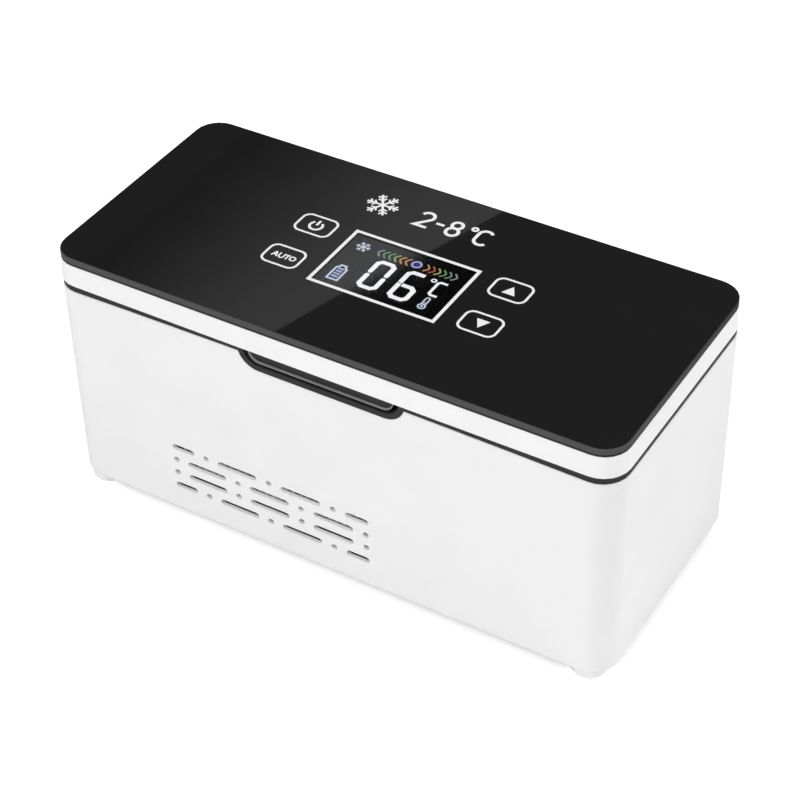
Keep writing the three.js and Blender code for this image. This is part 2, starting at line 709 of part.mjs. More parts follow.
function coldBlock() {
  const reachX = COLD_LENGTH / 2;
  const reachY = COLD_WIDTH / 2;
  const slab = block(GRILLE_X - reachX, GRILLE_X + reachX, -reachY, reachY, coldBottom, coldTop);
  const tapped = sinkScrews.map(([, x]) =>
    upright(SCREW_RADIUS + FIT, coldBottom - CUT, coldBottom + SINK_SCREW_DEPTH + FIT, x, COLD_WIDTH / 4),
  );
  const probeHole = alongX(circle(0, probeZ, PROBE_RADIUS + FIT), probeX - FIT, GRILLE_X + reachX + CUT);
  return cut(solid(slab), ...tapped, probeHole);
}
piece(base, 'cold_block', coldBlock(), ALUMINIUM);

const probe = alongX(circle(0, 0, PROBE_RADIUS), 0, PROBE_LENGTH);
piece(base, 'temperature_probe', probe, STEEL, [probeX, 0, probeZ]);

const peltierCore = PELTIER_SIZE - 2 * PELTIER_STEP;
const peltierRing = (size, z) => smallRing(size, size, PELTIER_PLATE, z);
const peltier = skin([
  peltierRing(PELTIER_SIZE, 0),
  peltierRing(PELTIER_SIZE, PELTIER_PLATE),
  peltierRing(peltierCore, PELTIER_PLATE),
  peltierRing(peltierCore, PELTIER_HEIGHT - PELTIER_PLATE),
  peltierRing(PELTIER_SIZE, PELTIER_HEIGHT - PELTIER_PLATE),
  peltierRing(PELTIER_SIZE, PELTIER_HEIGHT),
]);
piece(base, 'peltier_module', peltier, { color: 0xf0efe8, roughness: 0.6 }, [GRILLE_X, 0, peltierBottom]);

const fanHoles = corners.map(([name, sx, sy]) => [
  name,
  GRILLE_X + (sx * FAN_HOLE_SPACING) / 2,
  (sy * FAN_HOLE_SPACING) / 2,
]);

function heatsink() {
  const left = GRILLE_X - sinkLength / 2;
  const outline = [
    [left + sinkLength, sinkTop],
    [left, sinkTop],
  ];
  for (let fin = 0; fin < FIN_COUNT; fin += 1) {
    const x = left + fin * FIN_PITCH;
    const ends = [
      [x, finBottom],
      [x + FIN_THICKNESS, finBottom],
    ];
    const roots = [
      [x, finTop],
      [x + FIN_THICKNESS, finTop],
    ];
    const first = fin === 0 ? [] : [roots[0]];
    const last = fin === FIN_COUNT - 1 ? [] : [roots[1]];
    outline.push(...first, ...ends, ...last);
  }
  const reach = wallY - SINK_GAP;
  const comb = alongY(polygon(outline), -reach, reach);
  const pillars = fanHoles.map(([, x, y]) => upright(PILLAR_RADIUS, finBottom, finTop + SEAT, x, y, 12));
  const pilots = fanHoles.map(([, x, y]) =>
    upright(FAN_SCREW_RADIUS + FIT, finBottom - CUT, finBottom + FAN_SCREW_DEPTH + FIT, x, y, 12),
  );
  const access = sinkScrews.flatMap(([, x]) => [
    upright(SCREW_HEAD_RADIUS + FIT, finBottom - CUT, finTop, x, COLD_WIDTH / 4, 12),
    upright(SCREW_RADIUS + FIT, finBottom - CUT, sinkTop + CUT, x, COLD_WIDTH / 4),
  ]);
  return cut(joined(comb, ...pillars), ...pilots, ...access);
}
piece(base, 'heatsink', heatsink(), ALUMINIUM);

for (const [name, x] of sinkScrews) {
  const length = SINK_BASE + SEAT + coldBottom - sinkTop + SINK_SCREW_DEPTH;
  const sinkScrew = screw(SCREW_HEAD_RADIUS, SCREW_RADIUS, length);
  piece(base, `heatsink_screw_${name}`, sinkScrew, STEEL, [x, COLD_WIDTH / 4, finTop - SEAT]);
}

function fanFrame() {
  const reach = FAN_SIZE / 2;
  const housing = block(GRILLE_X - reach, GRILLE_X + reach, -reach, reach, fanBottom, fanTop);
  const duct = upright(FAN_BORE, fanBottom - CUT, fanTop + CUT, GRILLE_X, 0, 24);
  const holes = fanHoles.map(([, x, y]) =>
    upright(FAN_SCREW_RADIUS + FIT, fanBottom - CUT, fanTop + CUT, x, y, 12),
  );
  const motorPlate = upright(FAN_HUB, fanBottom, fanBottom + FAN_BACK, GRILLE_X, 0, 24);
  const arm = FAN_ARM / 2;
  const armReach = FAN_BORE + SEAT;
  const arms = [
    block(GRILLE_X - armReach, GRILLE_X + armReach, -arm, arm, fanBottom, fanBottom + FAN_BACK),
    block(GRILLE_X - arm, GRILLE_X + arm, -armReach, armReach, fanBottom, fanBottom + FAN_BACK),
  ];
  const bearing = upright(SHAFT_RADIUS + FIT, fanBottom - CUT, fanTop, GRILLE_X, 0);
  const open = cut(solid(housing), duct, ...holes);
  return cut(open.add(joined(motorPlate, ...arms)), bearing);
}
piece(base, 'fan_frame', fanFrame(), BLACK_SATIN);

for (const [name, x, y] of fanHoles) {
  const fanScrew = screw(SCREW_HEAD_RADIUS, FAN_SCREW_RADIUS, FAN_DEPTH + FAN_SCREW_DEPTH);
  piece(base, `fan_screw_${name}`, fanScrew, STEEL, [x, y, fanBottom - SEAT]);
}

function fanRotor() {
  const hubBottom = FAN_BACK + RUN;
  const hubTop = FAN_DEPTH - FAN_TIP_GAP;
  const hub = lathe([
    [0, SEAT],
    [SHAFT_RADIUS, SEAT],
    [SHAFT_RADIUS, hubBottom],
    [FAN_HUB, hubBottom],
    [FAN_HUB, hubTop - FAN_TIP_GAP],
    [FAN_HUB - FAN_TIP_GAP, hubTop],
    [0, hubTop],
  ]);
  const tip = FAN_BORE - FAN_TIP_GAP;
  const root = FAN_HUB - FAN_BLADE_THICKNESS;
  const blades = [];
  for (let blade = 0; blade < FAN_BLADES; blade += 1) {
    const plate = new THREE.BoxGeometry(tip - root, FAN_BLADE_THICKNESS, FAN_BLADE_HEIGHT);
    plate.rotateX(((90 - FAN_BLADE_ANGLE) * Math.PI) / 180);
    plate.translate((tip + root) / 2, 0, (hubBottom + hubTop) / 2);
    blades.push(plate.rotateZ((2 * Math.PI * blade) / FAN_BLADES));
  }
  const sweep = upright(tip, 0, FAN_DEPTH, 0, 0, 24);
  return joined(hub, ...blades).intersect(solid(sweep));
}
piece(model, 'fan_rotor', fanRotor(), { color: 0x232326, roughness: 0.45 }, [GRILLE_X, 0, fanBottom]);

// Power: battery, circuit board and charging inlet
const batteryWidth = BATTERY_CELL * BATTERY_CELLS;
const batteryLeft = GRILLE_X + sinkLength / 2 + BATTERY_GAP;
const batteryShape = roundSlot(0, plateTop + SEAT + BATTERY_CELL / 2, batteryWidth, BATTERY_CELL);
const battery = alongX(batteryShape, batteryLeft, batteryLeft + BATTERY_LENGTH);
piece(base, 'battery_pack', battery, { color: 0x2f6fb2, roughness: 0.4 });

const boardHalf = BOARD_WIDTH / 2;
const boardFront = boardBack - BOARD_LENGTH;
const board = block(boardX - boardHalf, boardX + boardHalf, boardFront, boardBack, boardBottom, boardTop);
piece(base, 'main_board', board, BOARD_GREEN);

function chargingInlet() {
  const back = wallY - FIT;
  const face = halfWidth - BODY_INSET - FIT;
  const half = INLET_WIDTH / 2;
  const front = back - INLET_DEPTH;
  const top = inletZ + INLET_HEIGHT / 2;
  const housing = block(boardX - half, boardX + half, front, back, boardTop + SEAT, top);
  const nose = alongY(circle(boardX, inletZ, INLET_NOSE), back - SEAT, face, 8);
  const bore = alongY(circle(boardX, inletZ, INLET_BORE), face - INLET_BORE_DEPTH, face + CUT, 6);
  const pin = alongY(circle(boardX, inletZ, INLET_PIN), face - INLET_BORE_DEPTH - SEAT, face - FIT, 3);
  return cut(joined(housing, nose), bore).add(solid(pin));
}
piece(base, 'charging_inlet', chargingInlet(), BLACK_SATIN);

// Lid shell: a band with a deck inside, a round rear edge, hinge ears and screw bosses
const linerScrews = corners.map(([name, sx, sy]) => [
  name,
  sx * (halfLength - LINER_SCREW_INSET),
  sy * (halfWidth - LINER_SCREW_INSET),
]);
const earReach = HINGE_LUG_WIDTH / 2 + RUN + HINGE_EAR_WIDTH;
const earFront = hingeY - HINGE_LUG_RADIUS - RUN - LID_DECK;

function lidShell() {
  const innerTop = LID_DRAFT + LID_WALL;
  const band = skin([
    caseRing(LID_WALL, lidDeckBottom),
    caseRing(LID_WALL, lidBottom),
    caseRing(0, lidBottom),
    caseRing(LID_DRAFT, lidTop),
    caseRing(innerTop, lidTop),
    caseRing(innerTop, lidDeckTop),
  ]);
  const earBack = halfWidth - LID_WALL / 2;
  const ears = sides.map(([, side]) => {
    const x = side * hingeX;
    return block(x - earReach, x + earReach, earFront, earBack, lidBottom, lidDeckBottom + SEAT);
  });
  const bosses = linerScrews.map(([, x, y]) =>
    upright(BOSS_RADIUS, linerTop + SEAT, lidDeckBottom + SEAT, x, y, 12),
  );
  const pilots = linerScrews.map(([, x, y]) =>
    upright(SCREW_RADIUS + FIT, lidBottom, linerBottom + LINER_SCREW_LENGTH + FIT, x, y, 12),
  );
  const notchHalf = HINGE_LUG_WIDTH / 2 + RUN;
  const notchReach = HINGE_LUG_RADIUS + RUN;
  const notches = sides.map(([, side]) => {
    const x = side * hingeX;
    const top = hingeZ + notchReach;
    return block(x - notchHalf, x + notchHalf, hingeY - notchReach, halfWidth + CUT, lidBottom - CUT, top);
  });
  const boreHalf = pinLength / 2 + FIT;
  const bores = sides.map(([, side]) => {
    const bore = circle(hingeY, hingeZ, HINGE_BORE_RADIUS);
    return alongX(bore, side * hingeX - boreHalf, side * hingeX + boreHalf);
  });
  const edgeRadius = HINGE_RISE - FIT;
  const below = block(-CASE_LENGTH, CASE_LENGTH, hingeY, halfWidth + CUT, lidBottom - CUT, hingeZ);
  const barrel = alongX(circle(hingeY, hingeZ, edgeRadius), -CASE_LENGTH - CUT, CASE_LENGTH + CUT);
  const rearEdge = solid(below).subtract(solid(barrel));
  const whole = joined(band, ...ears, ...bosses).subtract(rearEdge);
  return cut(whole, ...notches, ...bores, ...pilots);
}
piece(lid, 'lid_shell', lidShell(), WHITE);

// Lid inside: liner with its plug, foam in the plug, gasket, screws and magnets
function lidLiner() {
  const plugRadius = TUB_RADIUS - PLUG_GAP;
  const plug = (offset, z) =>
    ring(plugHalfX + offset, plugHalfY + offset, plugRadius + offset, z, { edge: EDGE_STEPS });
  const edge = LID_WALL + FIT;
  const tray = skin([
    plug(0, plugBottom),
    plug(0, linerBottom),
    caseRing(edge, linerBottom),
    caseRing(edge, linerTop),
    plug(-LINER_WALL, linerTop),
    plug(-LINER_WALL, plugBottom + LINER_WALL),
  ]);
  const hinges = sides.map(([, side]) => {
    const x = side * hingeX;
    const reach = earReach + FIT;
    return block(x - reach, x + reach, earFront - FIT, halfWidth, linerBottom - CUT, linerTop + CUT);
  });
  const holes = linerScrews.map(([, x, y]) => upright(SCREW_RADIUS + FIT, lidBottom, lidTop, x, y, 12));
  return cut(solid(tray), ...hinges, ...holes);
}
piece(lid, 'lid_liner', lidLiner(), { color: 0xe4e5e7, roughness: 0.5 });

const foamOffset = -PLUG_GAP - LINER_WALL - FIT;
const lidFoam = skin([
  tubRing(foamOffset, plugBottom + LINER_WALL + SEAT),
  tubRing(foamOffset, lidDeckBottom - SEAT),
]);
piece(lid, 'lid_foam', lidFoam, { color: 0xe9e4d2, roughness: 0.95 });

const gasketTop = gasketBottom + GASKET_HEIGHT;
const gasket = skin(
  [
    tubRing(GASKET_MARGIN + GASKET_WIDTH, gasketBottom),
    tubRing(GASKET_MARGIN + GASKET_WIDTH, gasketTop),
    tubRing(GASKET_MARGIN, gasketTop),
    tubRing(GASKET_MARGIN, gasketBottom),
  ],
  true,
);
piece(lid, 'lid_gasket', gasket, { color: 0x3a3a3c, roughness: 0.8 });

for (const [name, x, y] of linerScrews) {
  const linerScrew = screw(SCREW_HEAD_RADIUS, SCREW_RADIUS, LINER_SCREW_LENGTH);
  piece(lid, `liner_screw_${name}`, linerScrew, STEEL, [x, y, linerBottom - SEAT]);
}
for (const [name, side] of sides) {
  const magnet = upright(MAGNET_RADIUS, 0, MAGNET_HEIGHT);
  piece(lid, `lid_magnet_${name}`, magnet, STEEL, [side * magnetX, magnetY, linerTop + SEAT]);
}

// Pull tab: hangs from the lid into the scoop, with a lip round its face
function pullTab() {
  const face = -halfWidth + TAB_FACE_INSET;
  const lip = -halfWidth + TAB_LIP_INSET;
  const behind = -halfWidth + LID_WALL + FIT;
  const back = face + TAB_DEPTH;
  const bottom = lidBottom - TAB_DROP;
  const profile = polygon([
    [lip, bottom],
    [back, bottom],
    [back, linerBottom - SEAT],
    [behind, linerBottom - SEAT],
    [behind, lidBottom - SEAT],
    [lip, lidBottom - SEAT],
  ]);
  const bar = alongX(profile, SCOOP_X - TAB_HALF_LENGTH, SCOOP_X + TAB_HALF_LENGTH);
  const outline = bucket(TAB_HALF_LENGTH, bottom, linerBottom, TAB_RADIUS);
  const hollow = bucket(TAB_HALF_LENGTH - TAB_LIP, bottom + TAB_LIP, linerBottom, TAB_RADIUS - TAB_LIP);
  const plate = solid(bar).intersect(solid(alongY(outline, lip - CUT, back + CUT, 6)));
  return cut(plate, alongY(hollow, lip - CUT, face, 6));
}
piece(lid, 'pull_tab', pullTab(), BLACK_SATIN);

// Panel: a black cap, flush with the lid, with a ledge for the window and four key openings
const keys = [
  ['power', -1, 1],
  ['auto', -1, -1],
  ['up', 1, 1],
  ['down', 1, -1],
].map(([name, sx, sy]) => [name, CONTROL_X + (sx * KEY_SPACING_X) / 2, KEY_Y + (sy * KEY_SPACING_Y) / 2]);
const ledgeTop = panelTop - WINDOW_THICKNESS - SEAT;

function lidPanel() {
  const inner = LID_DRAFT + LID_WALL;
  const cap = skin([
    caseRing(inner, panelCeiling),
    caseRing(inner, panelBottom),
    caseRing(LID_DRAFT, panelBottom),
    caseRing(LID_DRAFT, panelTop - PANEL_EDGE),
    caseRing(LID_DRAFT + PANEL_EDGE, panelTop),
  ]);
  const opening = (length, width, radius, z) =>
    skin([smallRing(length, width, radius, z), smallRing(length, width, radius, panelTop + CUT)]);
  const sight = 2 * WINDOW_LEDGE;
  const seatGap = 2 * SEAT;
  const windowHoles = [
    opening(WINDOW_LENGTH + seatGap, WINDOW_WIDTH + seatGap, WINDOW_RADIUS + SEAT, ledgeTop),
    opening(WINDOW_LENGTH - sight, WINDOW_WIDTH - sight, WINDOW_RADIUS, panelCeiling - CUT),
  ].map((hole) => hole.translate(CONTROL_X, WINDOW_Y, 0));
  const keyHoles = keys.map(([, x, y]) => {
    const gap = 2 * KEY_GAP;
    const hole = opening(KEY_LENGTH + gap, KEY_WIDTH + gap, KEY_RADIUS + KEY_GAP, panelCeiling - CUT);
    return hole.translate(x, y, 0);
  });
  return cut(solid(cap), ...windowHoles, ...keyHoles);
}
piece(lid, 'lid_panel', lidPanel(), BLACK_GLOSS);

const windowSlab = skin([
  smallRing(WINDOW_LENGTH, WINDOW_WIDTH, WINDOW_RADIUS, 0),
  smallRing(WINDOW_LENGTH, WINDOW_WIDTH, WINDOW_RADIUS, WINDOW_THICKNESS),
]);
piece(lid, 'display_window', windowSlab, BLACK_GLOSS, [CONTROL_X, WINDOW_Y, panelTop - WINDOW_THICKNESS]);

// Display module under the window, on the circuit that also carries the key switches
const glassLength = WINDOW_LENGTH - 2 * WINDOW_LEDGE - 2 * FIT;
const glassWidth = WINDOW_WIDTH - 2 * WINDOW_LEDGE - 2 * FIT;
const displayBottom = circuitTop + SEAT;
const housingLength = glassLength + 2 * DISPLAY_BORDER;
const housingWidth = glassWidth + 2 * DISPLAY_BORDER;
const housingTop = displayBottom + DISPLAY_HOUSING;
const display = skin([
  smallRing(housingLength, housingWidth, WINDOW_RADIUS, displayBottom),
  smallRing(housingLength, housingWidth, WINDOW_RADIUS, housingTop),
  smallRing(glassLength, glassWidth, WINDOW_RADIUS, housingTop),
  smallRing(glassLength, glassWidth, WINDOW_RADIUS, panelTop - WINDOW_THICKNESS - 2 * SEAT),
]);
piece(lid, 'display_module', display, { color: 0x0d0e10, roughness: 0.25 }, [CONTROL_X, WINDOW_Y, 0]);

const circuitReachX = KEY_SPACING_X / 2 + KEY_LENGTH / 2 + CIRCUIT_MARGIN;
const circuitReachY = WINDOW_WIDTH / 2 + CIRCUIT_MARGIN;
const circuit = block(
  CONTROL_X - circuitReachX,
  CONTROL_X + circuitReachX,
  WINDOW_Y - circuitReachY,
  WINDOW_Y + circuitReachY,
  circuitBottom,
  circuitTop,
);
piece(lid, 'key_board', circuit, BOARD_GREEN);

const collarTop = panelCeiling - SEAT - panelTop;
const collarLength = KEY_LENGTH + 2 * KEY_FLANGE;
const collarWidth = KEY_WIDTH + 2 * KEY_FLANGE;
const keyCap = skin([
  smallRing(collarLength, collarWidth, KEY_RADIUS + KEY_FLANGE, collarTop - KEY_FLANGE),
  smallRing(collarLength, collarWidth, KEY_RADIUS + KEY_FLANGE, collarTop),
  smallRing(KEY_LENGTH, KEY_WIDTH, KEY_RADIUS, collarTop),
  smallRing(KEY_LENGTH, KEY_WIDTH, KEY_RADIUS, 0),
]);
const switchTop = panelTop + collarTop - KEY_FLANGE - KEY_TRAVEL - SEAT;
for (const [name, x, y] of keys) {
  const half = SWITCH_SIZE / 2;
  const tactSwitch = block(-half, half, -half, half, circuitTop + SEAT, switchTop);
  piece(lid, `switch_${name}`, tactSwitch, STEEL, [x, y, 0]);
  piece(model, `key_${name}`, keyCap.clone(), BLACK_GLOSS, [x, y, panelTop]);
}

export default model;
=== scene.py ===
import math

import bmesh
import bpy
from mathutils import Matrix, Vector
from mathutils.geometry import delaunay_2d_cdt


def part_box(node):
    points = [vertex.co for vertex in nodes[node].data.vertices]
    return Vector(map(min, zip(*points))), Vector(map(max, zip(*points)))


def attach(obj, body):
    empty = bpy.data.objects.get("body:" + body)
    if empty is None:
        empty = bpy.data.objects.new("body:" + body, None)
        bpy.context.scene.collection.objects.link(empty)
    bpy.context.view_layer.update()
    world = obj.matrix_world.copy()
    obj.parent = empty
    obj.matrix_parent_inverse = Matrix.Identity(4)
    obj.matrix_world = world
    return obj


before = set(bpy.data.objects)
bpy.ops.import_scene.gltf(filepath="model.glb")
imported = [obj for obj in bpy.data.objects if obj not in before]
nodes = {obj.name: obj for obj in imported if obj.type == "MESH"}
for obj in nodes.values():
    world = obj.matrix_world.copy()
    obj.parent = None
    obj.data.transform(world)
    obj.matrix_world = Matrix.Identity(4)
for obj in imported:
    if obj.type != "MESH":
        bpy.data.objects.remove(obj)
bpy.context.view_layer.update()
scene = bpy.context.scene
scene.view_settings.view_transform = "Standard"
MM = 0.001
EVEN = (1.0, 1.0, 1.0)
FULL_WHITE = (1.0, 1.0, 1.0, 1.0)
FULL_BLACK = (0.0, 0.0, 0.0, 1.0)


# Colours and shader nodes
def to_linear(value):
    value = value / 255
    if value <= 0.04045:
        return value / 12.92
    return ((value + 0.055) / 1.055) ** 2.4


def srgb(red, green, blue):
    return (to_linear(red), to_linear(green), to_linear(blue), 1.0)


def grey(value):
    return srgb(value, value, value)


def set_sockets(node, sockets):
    """Sets a node's sockets by name, with an underscore for each space."""
    for key, value in sockets.items():
        node.inputs[key.replace("_", " ")].default_value = value


def add(tree, kind, **sockets):
    node = tree.nodes.new(kind)
    set_sockets(node, sockets)
    return node


def new_material(name, **sockets):
    material = bpy.data.materials.new(name)
    material.use_nodes = True
    tree = material.node_tree
    shader = tree.nodes["Principled BSDF"]
    set_sockets(shader, sockets)
    return material, tree, shader


def axes(tree, kind):
    """The X, Y and Z outputs of one kind of texture coordinate."""
    coordinates = tree.nodes.new("ShaderNodeTexCoord")
    split = tree.nodes.new("ShaderNodeSeparateXYZ")
    tree.links.new(coordinates.outputs[kind], split.inputs["Vector"])
    return split.outputs


def map_range(tree, value, from_low, from_high, to_low=0.0, to_high=1.0):
    node = add(
        tree, "ShaderNodeMapRange", From_Min=from_low, From_Max=from_high, To_Min=to_low, To_Max=to_high,
    )
    tree.links.new(value, node.inputs["Value"])
    return node.outputs["Result"]


def larger(tree, first, second):
    node = tree.nodes.new("ShaderNodeMath")
    node.operation = "MAXIMUM"
    tree.links.new(first, node.inputs[0])
    tree.links.new(second, node.inputs[1])
    return node.outputs[0]


def times(tree, value, factor):
    node = tree.nodes.new("ShaderNodeMath")
    node.operation = "MULTIPLY"
    node.inputs[1].default_value = factor
    tree.links.new(value, node.inputs[0])
    return node.outputs[0]


def noise(tree, scale, detail=3.0, stretch=None):
    """Noise in the object's own metres; stretch squeezes it along an axis, for drawn or brushed metal."""
    coordinates = tree.nodes.new("ShaderNodeTexCoord")
    source = coordinates.outputs["Object"]
    if stretch:
        mapping = add(tree, "ShaderNodeMapping", Scale=stretch)
        tree.links.new(source, mapping.inputs["Vector"])
        source = mapping.outputs["Vector"]
    texture = add(tree, "ShaderNodeTexNoise", Scale=scale, Detail=detail)
    tree.links.new(source, texture.inputs["Vector"])
    return texture.outputs["Fac"]


def ramp(tree, factor, low, high, start=0.35, end=0.65):
    node = tree.nodes.new("ShaderNodeValToRGB")
    node.color_ramp.elements[0].position = start
    node.color_ramp.elements[1].position = end
    node.color_ramp.elements[0].color = low
    node.color_ramp.elements[1].color = high
    tree.links.new(factor, node.inputs["Fac"])
    return node.outputs["Color"]


NOISE_LOW = 0.3
NOISE_HIGH = 0.7


def spread(tree, factor, low, high):
    """Noise carried to the range from low to high."""
    return map_range(tree, factor, NOISE_LOW, NOISE_HIGH, low, high)


# Materials
GLOSS_SCALE = 3.1


def surface(
    name, low, high, rough, tint_scale=45.0, grain=1800.0, bump=0.04, depth=0.06 * MM, stretch=None, **sockets
):
    """A moulded or machined surface: cloudy colour, uneven gloss and a fine grain."""
    material, tree, shader = new_material(name, **sockets)
    clouds = noise(tree, tint_scale, detail=2.0, stretch=stretch)
    gloss = noise(tree, tint_scale * GLOSS_SCALE, detail=4.0, stretch=stretch)
    relief = add(tree, "ShaderNodeBump", Strength=bump, Distance=depth)
    tree.links.new(ramp(tree, clouds, low, high), shader.inputs["Base Color"])
    tree.links.new(spread(tree, gloss, *rough), shader.inputs["Roughness"])
    tree.links.new(noise(tree, grain, detail=2.0, stretch=stretch), relief.inputs["Height"])
    tree.links.new(relief.outputs["Normal"], shader.inputs["Normal"])
    return material


SHELL = {
    "rough": (0.36, 0.44), "bump": 0.05, "IOR": 1.46,
    "Subsurface_Weight": 0.4, "Subsurface_Scale": 1.2 * MM, "Subsurface_Radius": EVEN,
}
WHITE = surface("shell_white", grey(238), grey(240), **SHELL)
# A lighter white for faces that look up, such as the floors of the vent slots: painted light
LEDGE_PAINTED_LIGHT = surface("ledge_white_painted_light", grey(250), grey(253), **SHELL)
BAND = surface("lid_white", grey(240), grey(243), rough=(0.34, 0.42), bump=0.05, IOR=1.46)
GLOSS = {"bump": 0.004, "grain": 300.0, "IOR": 1.5}
PANEL = surface("panel_gloss", grey(30), grey(32), rough=(0.008, 0.02), **GLOSS)
KEY = surface("key_gloss", grey(30), grey(32), rough=(0.01, 0.024), **GLOSS)
DARK = surface("dark_plastic", grey(41), grey(48), rough=(0.5, 0.6), bump=0.12, Specular_IOR_Level=0.2)
# A light grey on the front of the pull tab's lip: a painted highlight
LIP_HIGHLIGHT = surface("tab_lip_highlight", grey(128), grey(138), rough=(0.35, 0.45), bump=0.05, Specular_IOR_Level=0.3)
LINER = surface("liner_plastic", grey(222), grey(228), rough=(0.42, 0.5), bump=0.06)
PRINT = surface("white_print", grey(246), grey(250), rough=(0.42, 0.5), bump=0.02)
FOOT = surface(
    "foot_rubber", grey(240), grey(246), rough=(0.45, 0.6), bump=0.08,
    Subsurface_Weight=0.5, Subsurface_Scale=2.0 * MM, Subsurface_Radius=EVEN,
)
GASKET = surface("gasket_rubber", grey(44), grey(52), rough=(0.7, 0.82), bump=0.1, grain=1200.0)
FOAM = surface(
    "foam", srgb(226, 220, 198), srgb(238, 233, 214), rough=(0.9, 1.0), bump=0.5, grain=700.0, depth=0.4 * MM,
)
STEEL = surface(
    "steel", grey(184), grey(198), rough=(0.24, 0.36), bump=0.05, grain=2500.0,
    stretch=(1.0, 1.0, 6.0), Metallic=0.5,
)
TUB = surface(
    "tub_aluminium", grey(206), grey(218), rough=(0.28, 0.4), tint_scale=30.0, grain=900.0, bump=0.06,
    stretch=(0.12, 1.0, 1.0), Metallic=0.35,
)
FINS = surface(
    "fin_aluminium", grey(238), grey(245), rough=(0.5, 0.62), grain=1600.0, bump=0.05,
    stretch=(1.0, 0.1, 1.0), Metallic=0.1,
)
MAGNET = surface("magnet_nickel", grey(196), grey(206), rough=(0.14, 0.22), bump=0.03, Metallic=0.5)
CERAMIC = surface("ceramic", grey(232), srgb(240, 238, 230), rough=(0.55, 0.7), bump=0.1)
BOARD = surface(
    "circuit_lacquer", srgb(22, 82, 46), srgb(30, 100, 58), rough=(0.3, 0.42), tint_scale=160.0, bump=0.08,
)
BATTERY = surface("battery_film", srgb(38, 92, 158), srgb(48, 106, 174), rough=(0.22, 0.34), bump=0.06)
SCREEN = surface(
    "screen_black", srgb(4, 4, 12), srgb(6, 6, 16), rough=(0.03, 0.05), bump=0.004,
    IOR=1.6, Specular_Tint=(0.72, 0.86, 1.0, 1.0),
)


def window_material():
    """Clear plastic, faintly grey, with a gloss that is a little uneven."""
    material, tree, shader = new_material("window_clear", Transmission_Weight=1.0, IOR=1.5)
    gloss = noise(tree, scale=120.0)
    clouds = noise(tree, scale=60.0)
    tree.links.new(spread(tree, gloss, low=0.03, high=0.05), shader.inputs["Roughness"])
    tree.links.new(ramp(tree, clouds, grey(236), grey(242)), shader.inputs["Base Color"])
    return material


# The panel's side is painted with light and shade: a painted shadow low down, a painted reflection above it,
# darker towards the rear
EDGE_SHADOW_HEIGHT = 0.6 * MM
EDGE_SHEEN_HEIGHT = 1.1 * MM
EDGE_HALF_DEPTH = 50.0 * MM
EDGE_FRONT_SHADE_AND_SHEEN = (grey(46), grey(82))
EDGE_REAR_SHADE_AND_SHEEN = (grey(30), grey(36))


def edge_shade_and_sheen_material():
    """The panel's side, painted with light and shade: a lighter band of painted reflection over a dark foot
    of painted shadow, both with painted shade towards the rear.
    """
    material, tree, shader = new_material("panel_edge_shade_and_sheen", Specular_IOR_Level=0.03)
    place = axes(tree, "Object")
    foot = min(vertex.co.z for vertex in nodes["lid_panel"].data.vertices)
    height = map_range(tree, place["Z"], foot + EDGE_SHADOW_HEIGHT, foot + EDGE_SHEEN_HEIGHT)
    depth = map_range(tree, place["Y"], -EDGE_HALF_DEPTH, EDGE_HALF_DEPTH)
    gloss = noise(tree, scale=140.0)
    fade = tree.nodes.new("ShaderNodeMixRGB")
    tree.links.new(depth, fade.inputs["Fac"])
    tree.links.new(ramp(tree, height, *EDGE_FRONT_SHADE_AND_SHEEN, start=0.0, end=1.0), fade.inputs["Color1"])
    tree.links.new(ramp(tree, height, *EDGE_REAR_SHADE_AND_SHEEN, start=0.0, end=1.0), fade.inputs["Color2"])
    tree.links.new(fade.outputs["Color"], shader.inputs["Base Color"])
    tree.links.new(spread(tree, gloss, low=0.34, high=0.42), shader.inputs["Roughness"])
    return material


WINDOW = window_material()
EDGE_SHADE_AND_SHEEN = edge_shade_and_sheen_material()
GLOW_DIP = 0.94
GLOW_SCALE = 900.0


def glow(name, colour, strength):
    """A lit display segment, a little uneven across its face."""
    material, tree, shader = new_material(
        name, Emission_Strength=strength, Base_Color=FULL_BLACK, Roughness=0.6,
    )
    dim = tuple(channel * GLOW_DIP for channel in colour[:3]) + (1.0,)
    clouds = noise(tree, GLOW_SCALE, detail=2.0)
    tree.links.new(ramp(tree, clouds, dim, colour), shader.inputs["Emission Color"])
    return material


LIT = glow("lit_white", srgb(250, 250, 255), 1.25)
LILAC = glow("lit_lilac", srgb(178, 180, 236), 1.0)
ICE = glow("lit_ice", srgb(216, 228, 248), 1.0)
BLUE = glow("lit_blue", srgb(78, 96, 152), 0.95)
PALE = glow("lit_pale", srgb(228, 226, 250), 1.0)
DEEP = glow("lit_deep", srgb(60, 66, 150), 0.8)
CHEVRON_GLOW = 0.9
CHEVRON_TONES = {
    "mist": glow("lit_mist", srgb(146, 162, 160), CHEVRON_GLOW),
    "sage": glow("lit_sage", srgb(128, 156, 142), CHEVRON_GLOW),
    "leaf": glow("lit_leaf", srgb(116, 166, 120), CHEVRON_GLOW),
    "lime": glow("lit_lime", srgb(178, 184, 110), CHEVRON_GLOW),
    "amber": glow("lit_amber", srgb(216, 164, 98), CHEVRON_GLOW),
    "rust": glow("lit_rust", srgb(196, 104, 86), CHEVRON_GLOW),
}


# Dressing of the CAD nodes
def shape_group(name, step):
    """A node group that passes its geometry through one step."""
    group = bpy.data.node_groups.new(name, "GeometryNodeTree")
    group.interface.new_socket("Geometry", in_out="INPUT", socket_type="NodeSocketGeometry")
    group.interface.new_socket("Geometry", in_out="OUTPUT", socket_type="NodeSocketGeometry")
    source = group.nodes.new("NodeGroupInput")
    middle = group.nodes.new(step)
    result = group.nodes.new("NodeGroupOutput")
    group.links.new(source.outputs[0], middle.inputs["Geometry"])
    group.links.new(middle.outputs[0], result.inputs[0])
    return group, middle


